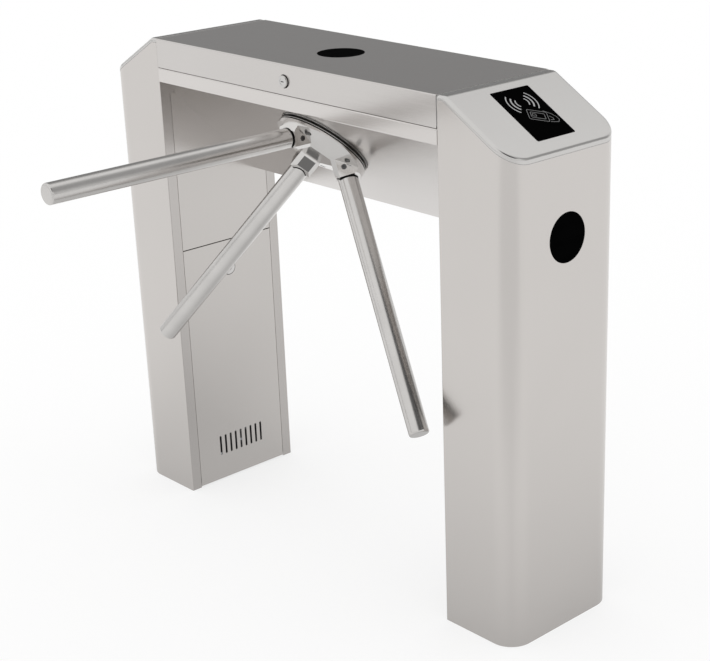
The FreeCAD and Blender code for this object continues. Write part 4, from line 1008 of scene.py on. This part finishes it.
@dataclass
class Bridge:
    """Small parts of the bridge: hinge screws, end-plate bolts, lid edge seals, board and supply trim."""

    hinge_at: float = 260.0
    hinge_reach: float = 26.0
    hinge_screw: HeadForm = HeadForm(3.2, 1.5)
    leaf_face: float = HALF_DEPTH + 1.5
    body_leaf: float = 926.0
    lid_leaf: float = 958.0
    plate_face: float = HALF_PASSAGE - 3.0
    plate_bolt: HeadForm = HeadForm(6.5, 5.0, True)
    plate_places: tuple[Pair, ...] = ((-100.0, 932.0), (100.0, 932.0), (110.0, 720.0), (0.0, 850.0))
    board_face: float = 126.4
    terminal_x: tuple[float, ...] = tuple(200.5 + 9.0 * k for k in range(12))
    terminal_proud: float = 14.0
    terminal_level: float = 774.0
    terminal_screw: HeadForm = HeadForm(2.6, 0.8)
    standoff_x: Pair = (188.0, 312.0)
    standoff_z: Pair = (776.0, 860.0)
    standoff_screw: HeadForm = HeadForm(3.0, 1.8)
    supply_x: tuple[float, ...] = tuple(-290.0 + 11.4 * k for k in range(8))
    supply_at: Pair = (112.0, 846.0)
    supply_screw: HeadForm = HeadForm(3.2, 1.0)
    can_x: float = 293.0
    can_z: Pair = (829.0, 845.0)
    can: HeadForm = HeadForm(5.0, 14.0, socket=0.7, depth=0.03)
    seal: Pair = (HALF_PASSAGE - 0.6, HALF_PASSAGE - 0.15)
    seal_half: float = HALF_DEPTH - 0.3
    seal_top: float = TOP - 0.3
    seal_foot: float = 946.0
    seal_depth: float = 3.0
    seal_round: float = 6.0

    def build(self) -> None:
        """Make all of them."""
        self.hinges()
        self.end_plates()
        self.electrics()
        for side in Side:
            self.edge_seal(side)

    def hinges(self) -> None:
        """Two screws in each half of each hinge."""
        for name, body, level in (("body", "cabinet", self.body_leaf), ("lid", "top_lid", self.lid_leaf)):
            shell = Shell()
            for hinge, end in product((-1, 1), repeat=2):
                x = hinge * self.hinge_at + end * self.hinge_reach
                shell.head(facing((x, self.leaf_face, level), (0, 1, 0)), self.hinge_screw)
            shell.piece(f"{name}_hinge_screws", BOLT_ZINC, body, "screw_steel")

    def end_plates(self) -> None:
        """Hexagon bolts that hold the bridge to the legs."""
        for side in Side:
            shell = Shell()
            for y, z in self.plate_places:
                place = facing((side.value * self.plate_face, y, z), (-side.value, 0, 0))
                shell.head(place, self.plate_bolt)
            shell.piece(f"{side.label}_end_plate_bolts", BOLT_ZINC, "cabinet", "screw_steel")

    def electrics(self) -> None:
        """Terminal and standoff screws, and two tall capacitors of the control board."""
        screws, cans = Shell(), Shell()
        front, up = (0, -1, 0), (0, 0, 1)
        terminal_face = self.board_face - self.terminal_proud
        for x in self.terminal_x:
            screws.head(facing((x, terminal_face, self.terminal_level), front), self.terminal_screw)
        for x, z in product(self.standoff_x, self.standoff_z):
            screws.head(facing((x, self.board_face, z), front), self.standoff_screw)
        for x in self.supply_x:
            screws.head(facing((x, *self.supply_at), up), self.supply_screw)
        for z in self.can_z:
            cans.head(facing((self.can_x, self.board_face, z), front), self.can)
        screws.piece("electrics_screws", BOLT_ZINC, "cabinet", "screw_steel")
        cans.piece("board_capacitors", SENSOR_PLASTIC, "cabinet", "sensor_plastic")

    def edge_seal(self, side: Side) -> None:
        """Rubber edge on the leg that fills the joint beside the lid.

        Args:
            side: the leg.
        """
        half, turn = self.seal_half, self.seal_round
        middle = self.seal_top - turn
        rings = []
        for x in self.seal:
            ring = []
            for inset in (0.0, self.seal_depth):
                line = [Vector((-half + inset, self.seal_foot))]
                line += arc(Vector((turn - half, middle)), turn - inset, 180, 90, CORNER_STEPS)
                line += arc(Vector((half - turn, middle)), turn - inset, 90, 0, CORNER_STEPS)
                line += [Vector((half - inset, self.seal_foot))]
                ring += line if inset == 0.0 else line[::-1]
            rings.append([mm(side.value * x, point.x, point.y) for point in ring])
        Shell().rings(rings).piece(f"{side.label}_lid_edge_seal", EDGE_RUBBER, "cabinet", "reader_plastic")


@dataclass
class Joints:
    """Rubber at the visible joints: dark at panels, grey under the legs' caps; the dark rings at locks and
    the dark floors in key ways are painted shade.
    """

    strip_height: float = 1.4
    strip_proud: float = 0.25
    strip_profile: tuple[Pair, ...] = ((0.0, 0.0), (0.7, 0.1), (1.0, 0.5), (0.7, 0.9), (0.0, 1.0))
    # Dark rings round the locks' flanges: painted shade
    shade_ring: Pair = (0.02, 1.3)
    shade_ring_height: float = 0.45
    shade_ring_steps: int = 48
    door_lock: Pair = (487.0, 15.0)
    lid_lock: Pair = (968.0, 11.5)
    door_plug: float = 1.1
    lid_plug: float = 4.6
    # Size, corner and depths below the plug's face of the dark sheet of painted shade in a key way
    key_slot_shade: Pair = (7.8, 1.44)
    key_corner: float = 0.3
    key_shade_depths: Pair = (1.95, 0.35)
    cap_start: float = HALF_PASSAGE + 2.0
    cap_corner: float = 45.0
    cap_steps: int = 12
    cap_levels: Pair = (901.5, 991.2)
    cap_gap: Pair = (0.03, 0.75)
    cap_insets: Pair = (0.15, 1.2)

    def build(self) -> None:
        """Make the seals, the dark rings of painted shade at the locks and the painted shade in the key ways.
        """
        level, radius = self.door_lock
        for side in Side:
            self.panel_seal(side)
            self.cap_seal(side)
            label, sign = side.label, side.value
            place = facing((sign * HALF_PASSAGE, 0, level), (-sign, 0, 0))
            self.ring(f"{label}_lock_washer", place, radius, f"{label}_door")
            self.slot(f"{label}_key_way", place, self.door_plug, self.key_slot_shade[::-1], f"{label}_door_key")
        level, radius = self.lid_lock
        place = facing((0, -HALF_DEPTH, level), (0, -1, 0))
        self.ring("lid_lock_washer", place, radius, "top_lid")
        self.slot("lid_key_way", place, self.lid_plug, self.key_slot_shade, "lid_key")

    def panel_seal(self, side: Side) -> None:
        """Rounded strip along a fixed panel's lower edge.

        Args:
            side: the leg.
        """
        low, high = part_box(f"{side.label}_inner_panel")
        face = low.x if side is Side.RIGHT else high.x
        proud, height = side.value * self.strip_proud * MM, self.strip_height * MM
        rings = [[Vector((face - proud * out, y, low.z + height * up)) for out, up in self.strip_profile]
                 for y in (low.y, high.y)]
        Shell().rings(rings).piece(f"{side.label}_panel_seal", DARK_RUBBER_AND_SHADE, "cabinet", "reader_plastic")

    def cap_seal(self, side: Side) -> None:
        """Grey strip in the joint between a leg's wrapped sheet and its cap.

        Args:
            side: the leg.
        """
        low, high = self.cap_levels
        fall = math.tan(math.radians(CAP_SLOPE))
        corner = self.cap_corner
        middle = Vector((HALF_LENGTH - corner, HALF_DEPTH - corner))
        plans = []
        for inset in self.cap_insets:
            edge = HALF_DEPTH - inset
            line = [Vector((self.cap_start, edge)), Vector((HALF_LENGTH - (high - low) / fall, edge))]
            line += arc(middle, corner - inset, 90, 0, self.cap_steps)
            plans.append(line + [Vector((point.x, -point.y)) for point in line[::-1]])
        rings = []
        for outer, inner in zip(*plans):
            ring = []
            for point, up in ((outer, 0), (outer, 1), (inner, 1), (inner, 0)):
                level = min(high, low + (HALF_LENGTH - point.x) * fall) + self.cap_gap[up]
                ring.append(mm(side.value * point.x, point.y, level))
            rings.append(ring)
        Shell().rings(rings).piece(f"{side.label}_cap_seal", EDGE_RUBBER, "cabinet", "reader_plastic")

    def slot(self, name: str, place: Matrix, face: float, size: Pair, body: str) -> None:
        """Dark sheet inside a key way: painted shade.

        Args:
            name: name of the piece.
            place: middle of the lock on the sheet, with Z out of it.
            face: the plug's face above the sheet.
            size: width and height of the key way.
            body: the body that carries it.
        """
        outline = rounded(*size, self.key_corner)
        rings = [[place @ mm(point.x, point.y, face - depth) for point in outline]
                 for depth in self.key_shade_depths]
        Shell().rings(rings).piece(name, DARK_RUBBER_AND_SHADE, body, "lock_chrome")

    def ring(self, name: str, place: Matrix, radius: float, body: str) -> None:
        """Dark ring round a lock's flange: painted shade at the flange's foot.

        Args:
            name: name of the piece.
            place: middle of the flange's seat, with Z out of the sheet.
            radius: the flange's radius.
            body: the body that carries it.
        """
        (inner, outer), height, steps = self.shade_ring, self.shade_ring_height, self.shade_ring_steps
        rings = []
        for out, up in ((inner, 0.0), (outer, 0.0), (outer, height), (inner, height)):
            circle = arc(Vector((0, 0)), radius + out, 0, 360 - 360 / steps, steps - 1)
            rings.append([place @ mm(point.x, point.y, up) for point in circle])
        Shell().rings(rings, looped=True).piece(name, DARK_RUBBER_AND_SHADE, body, "reader_plastic")


@dataclass(frozen=True)
class SoftPatch:
    """Soft round patch of what metal mirrors: its level, and its limits round a middle.

    In the sky the middle is a direction and the limits are degrees; on the floor all are metres.
    """

    middle: Triple
    inner: float
    outer: float
    level: float


class Sky(Wiring):
    """Node tree of the world: even white light, with soft grey patches in what metal and glass show."""

    def __init__(self) -> None:
        """Start with an even white world."""
        world = bpy.data.worlds.new("studio")
        bpy.context.scene.world = world
        world.use_nodes = True
        super().__init__(world.node_tree)
        self.background = self.tree.nodes["Background"]
        self.background.inputs["Color"].default_value = (1.0, 1.0, 1.0, 1.0)
        self.towards = self.node("ShaderNodeTexCoord").outputs["Generated"]
        self.levels: list[Socket] = []

    def patch(self, patch: SoftPatch) -> None:
        """Add one grey patch.

        Args:
            patch: its place, size and level.
        """
        share = self.against("DOT_PRODUCT", self.towards, Vector(patch.middle).normalized())
        limits = [math.cos(math.radians(angle)) for angle in (patch.outer, patch.inner)]
        self.levels.append(self.ramp(share, limits, (1.0, patch.level)))

    def horizon(self, height: float, level: float) -> None:
        """Add a darker line where floor and walls meet.

        Args:
            height: how far it reaches up, as a sine.
            level: factor on the line.
        """
        up = self.against("DOT_PRODUCT", self.towards, (0.0, 0.0, 1.0))
        self.levels.append(self.ramp(up, (0.0, height), (level, 1.0)))

    def finish(self) -> None:
        """Show the patches to mirror and glass rays only."""
        mirrored = self.levels[0]
        for level in self.levels[1:]:
            mirrored = self.math("MULTIPLY", mirrored, level)
        rays = self.node("ShaderNodeLightPath").outputs
        seen = self.math("MAXIMUM", rays["Is Glossy Ray"], rays["Is Transmission Ray"])
        strength = self.math("MULTIPLY_ADD", seen, self.math("SUBTRACT", mirrored, 1.0), 1.0)
        self.feed(self.background.inputs["Strength"], strength)


@dataclass(frozen=True)
class PaleFloor(Finish):
    """White floor that keeps a soft shadow; in mirrors it shows painted shade near the feet, a painted dark
    patch and a painted light patch.
    """

    half: Pair = (HALF_LENGTH * MM, HALF_DEPTH * MM)
    # Depth, reach and fall of the painted shade near the feet, seen in mirrors
    dark: float = 0.32
    reach: float = 1.3
    fall: float = 3.0
    # A painted dark patch towards the camera and a painted light patch behind the left leg, seen in mirrors
    patches: tuple[SoftPatch, ...] = (SoftPatch((2.6, -2.58, 0.0), 1.6, 2.9, 0.85),
                                      SoftPatch((-0.75, 0.55, 0.0), 0.4, 1.0, 1.13))
    camera_share: float = 0.7
    mirror_share: float = 0.85

    def paint(self, painter: Painter) -> None:
        """White, partly as a plain white backdrop; its brightness in mirrors is painted, with painted shade
        near the feet and the painted patches.

        Args:
            painter: the material to fill.
        """
        rays = painter.node("ShaderNodeLightPath").outputs
        point = painter.node("ShaderNodeNewGeometry").outputs["Position"]
        past = []
        for way, half in zip(((1.0, 0.0, 0.0), (0.0, 1.0, 0.0)), self.half):
            off = painter.math("ABSOLUTE", painter.against("DOT_PRODUCT", point, way))
            past.append(painter.math("SUBTRACT", off, half))
        # Painted shade: darker towards the object, seen in mirrors
        near = painter.ramp(painter.math("MAXIMUM", *past), (0.0, self.reach), (1.0, 0.0), soft=False)
        level = painter.math("MULTIPLY_ADD", painter.math("POWER", near, self.fall), -self.dark, 1.0)
        for patch in self.patches:
            away = painter.against("DISTANCE", point, patch.middle)
            tone = painter.ramp(away, (patch.inner, patch.outer), (patch.level, 1.0))
            level = painter.math("MULTIPLY", level, tone)
        mirrors = painter.math("MAXIMUM", rays["Is Glossy Ray"], rays["Is Transmission Ray"])
        straight = painter.math("MULTIPLY", rays["Is Camera Ray"], self.camera_share)
        mirrored = painter.math("MULTIPLY", mirrors, self.mirror_share)
        painter.plug("Specular IOR Level", 0.0)
        painter.plug("Roughness", self.roughness)
        painter.plug("Base Color", painter.math("SUBTRACT", 1.0, painter.math("ADD", straight, mirrored)))
        painter.plug("Emission Color", self.colour)
        painter.plug("Emission Strength", painter.math("MULTIPLY_ADD", mirrored, level, straight))


@dataclass
class Studio:
    """Pale floor and even white light."""

    floor_half: float = 40.0
    floor: PaleFloor = PaleFloor("studio_floor", (1.0, 1.0, 1.0), 1.0)
    rear_wall: SoftPatch = SoftPatch((-0.67, 0.6456, 0.367), 20.0, 38.0, 0.28)
    dark_card: SoftPatch = SoftPatch((0.66, -0.2, 0.72), 17.0, 27.0, 0.06)
    side_screen: SoftPatch = SoftPatch((0.55, 0.65, 0.5), 12.0, 38.0, 0.42)
    horizon_height: float = 0.12
    horizon_level: float = 0.45

    def build(self) -> None:
        """Make the floor and the world."""
        half = self.floor_half
        corners = [Vector((x, y, 0)) for x, y in ((-half, -half), (half, -half), (half, half), (-half, half))]
        mesh_piece("studio_floor", corners, [(0, 1, 2, 3)], self.floor)
        sky = Sky()
        for patch in (self.rear_wall, self.dark_card, self.side_screen):
            sky.patch(patch)
        sky.horizon(self.horizon_height, self.horizon_level)
        sky.finish()


@dataclass
class Camera:
    """Camera at the photograph's viewing angle."""

    azimuth: float = 46.0479
    elevation: float = 21.5458
    roll: float = -1.1943
    distance: float = 3091.15
    target: Triple = (251.66, 0.0, 442.16)
    lens: float = 82.31
    sensor: float = 36.0
    shift: Pair = (-0.12, 0.0441)
    clip: Pair = (0.1, 200.0)

    def build(self) -> None:
        """Make the camera and use it."""
        azimuth, elevation, roll = (math.radians(v) for v in (self.azimuth, self.elevation, self.roll))
        back = Vector((math.sin(azimuth) * math.cos(elevation), -math.cos(azimuth) * math.cos(elevation),
                       math.sin(elevation)))
        right = Vector((math.cos(azimuth), math.sin(azimuth), 0))
        up = back.cross(right)
        turned_right = right * math.cos(roll) + up * math.sin(roll)
        turned_up = up * math.cos(roll) - right * math.sin(roll)
        data = bpy.data.cameras.new("camera")
        data.sensor_fit, data.sensor_width = "HORIZONTAL", self.sensor
        data.lens = self.lens
        data.shift_x, data.shift_y = self.shift
        data.clip_start, data.clip_end = self.clip
        camera = bpy.data.objects.new("camera", data)
        axes = Matrix((turned_right, turned_up, back)).transposed().to_4x4()
        camera.matrix_world = Matrix.Translation(mm(*self.target) + back * self.distance * MM) @ axes
        bpy.context.scene.collection.objects.link(camera)
        bpy.context.scene.camera = camera


def main() -> None:
    """Dress the frame, add the trim and set up the studio."""
    logging.basicConfig(level=logging.INFO, format="%(message)s")
    bpy.context.scene.view_settings.view_transform = "Standard"
    Cabinet(frame["nodes"], frame["record"]).dress()
    for side in Side:
        ReaderFace(side).build()
    Rotor().build()
    Bridge().build()
    Joints().build()
    Studio().build()
    Camera().build()


if __name__ == "__main__":
    main()
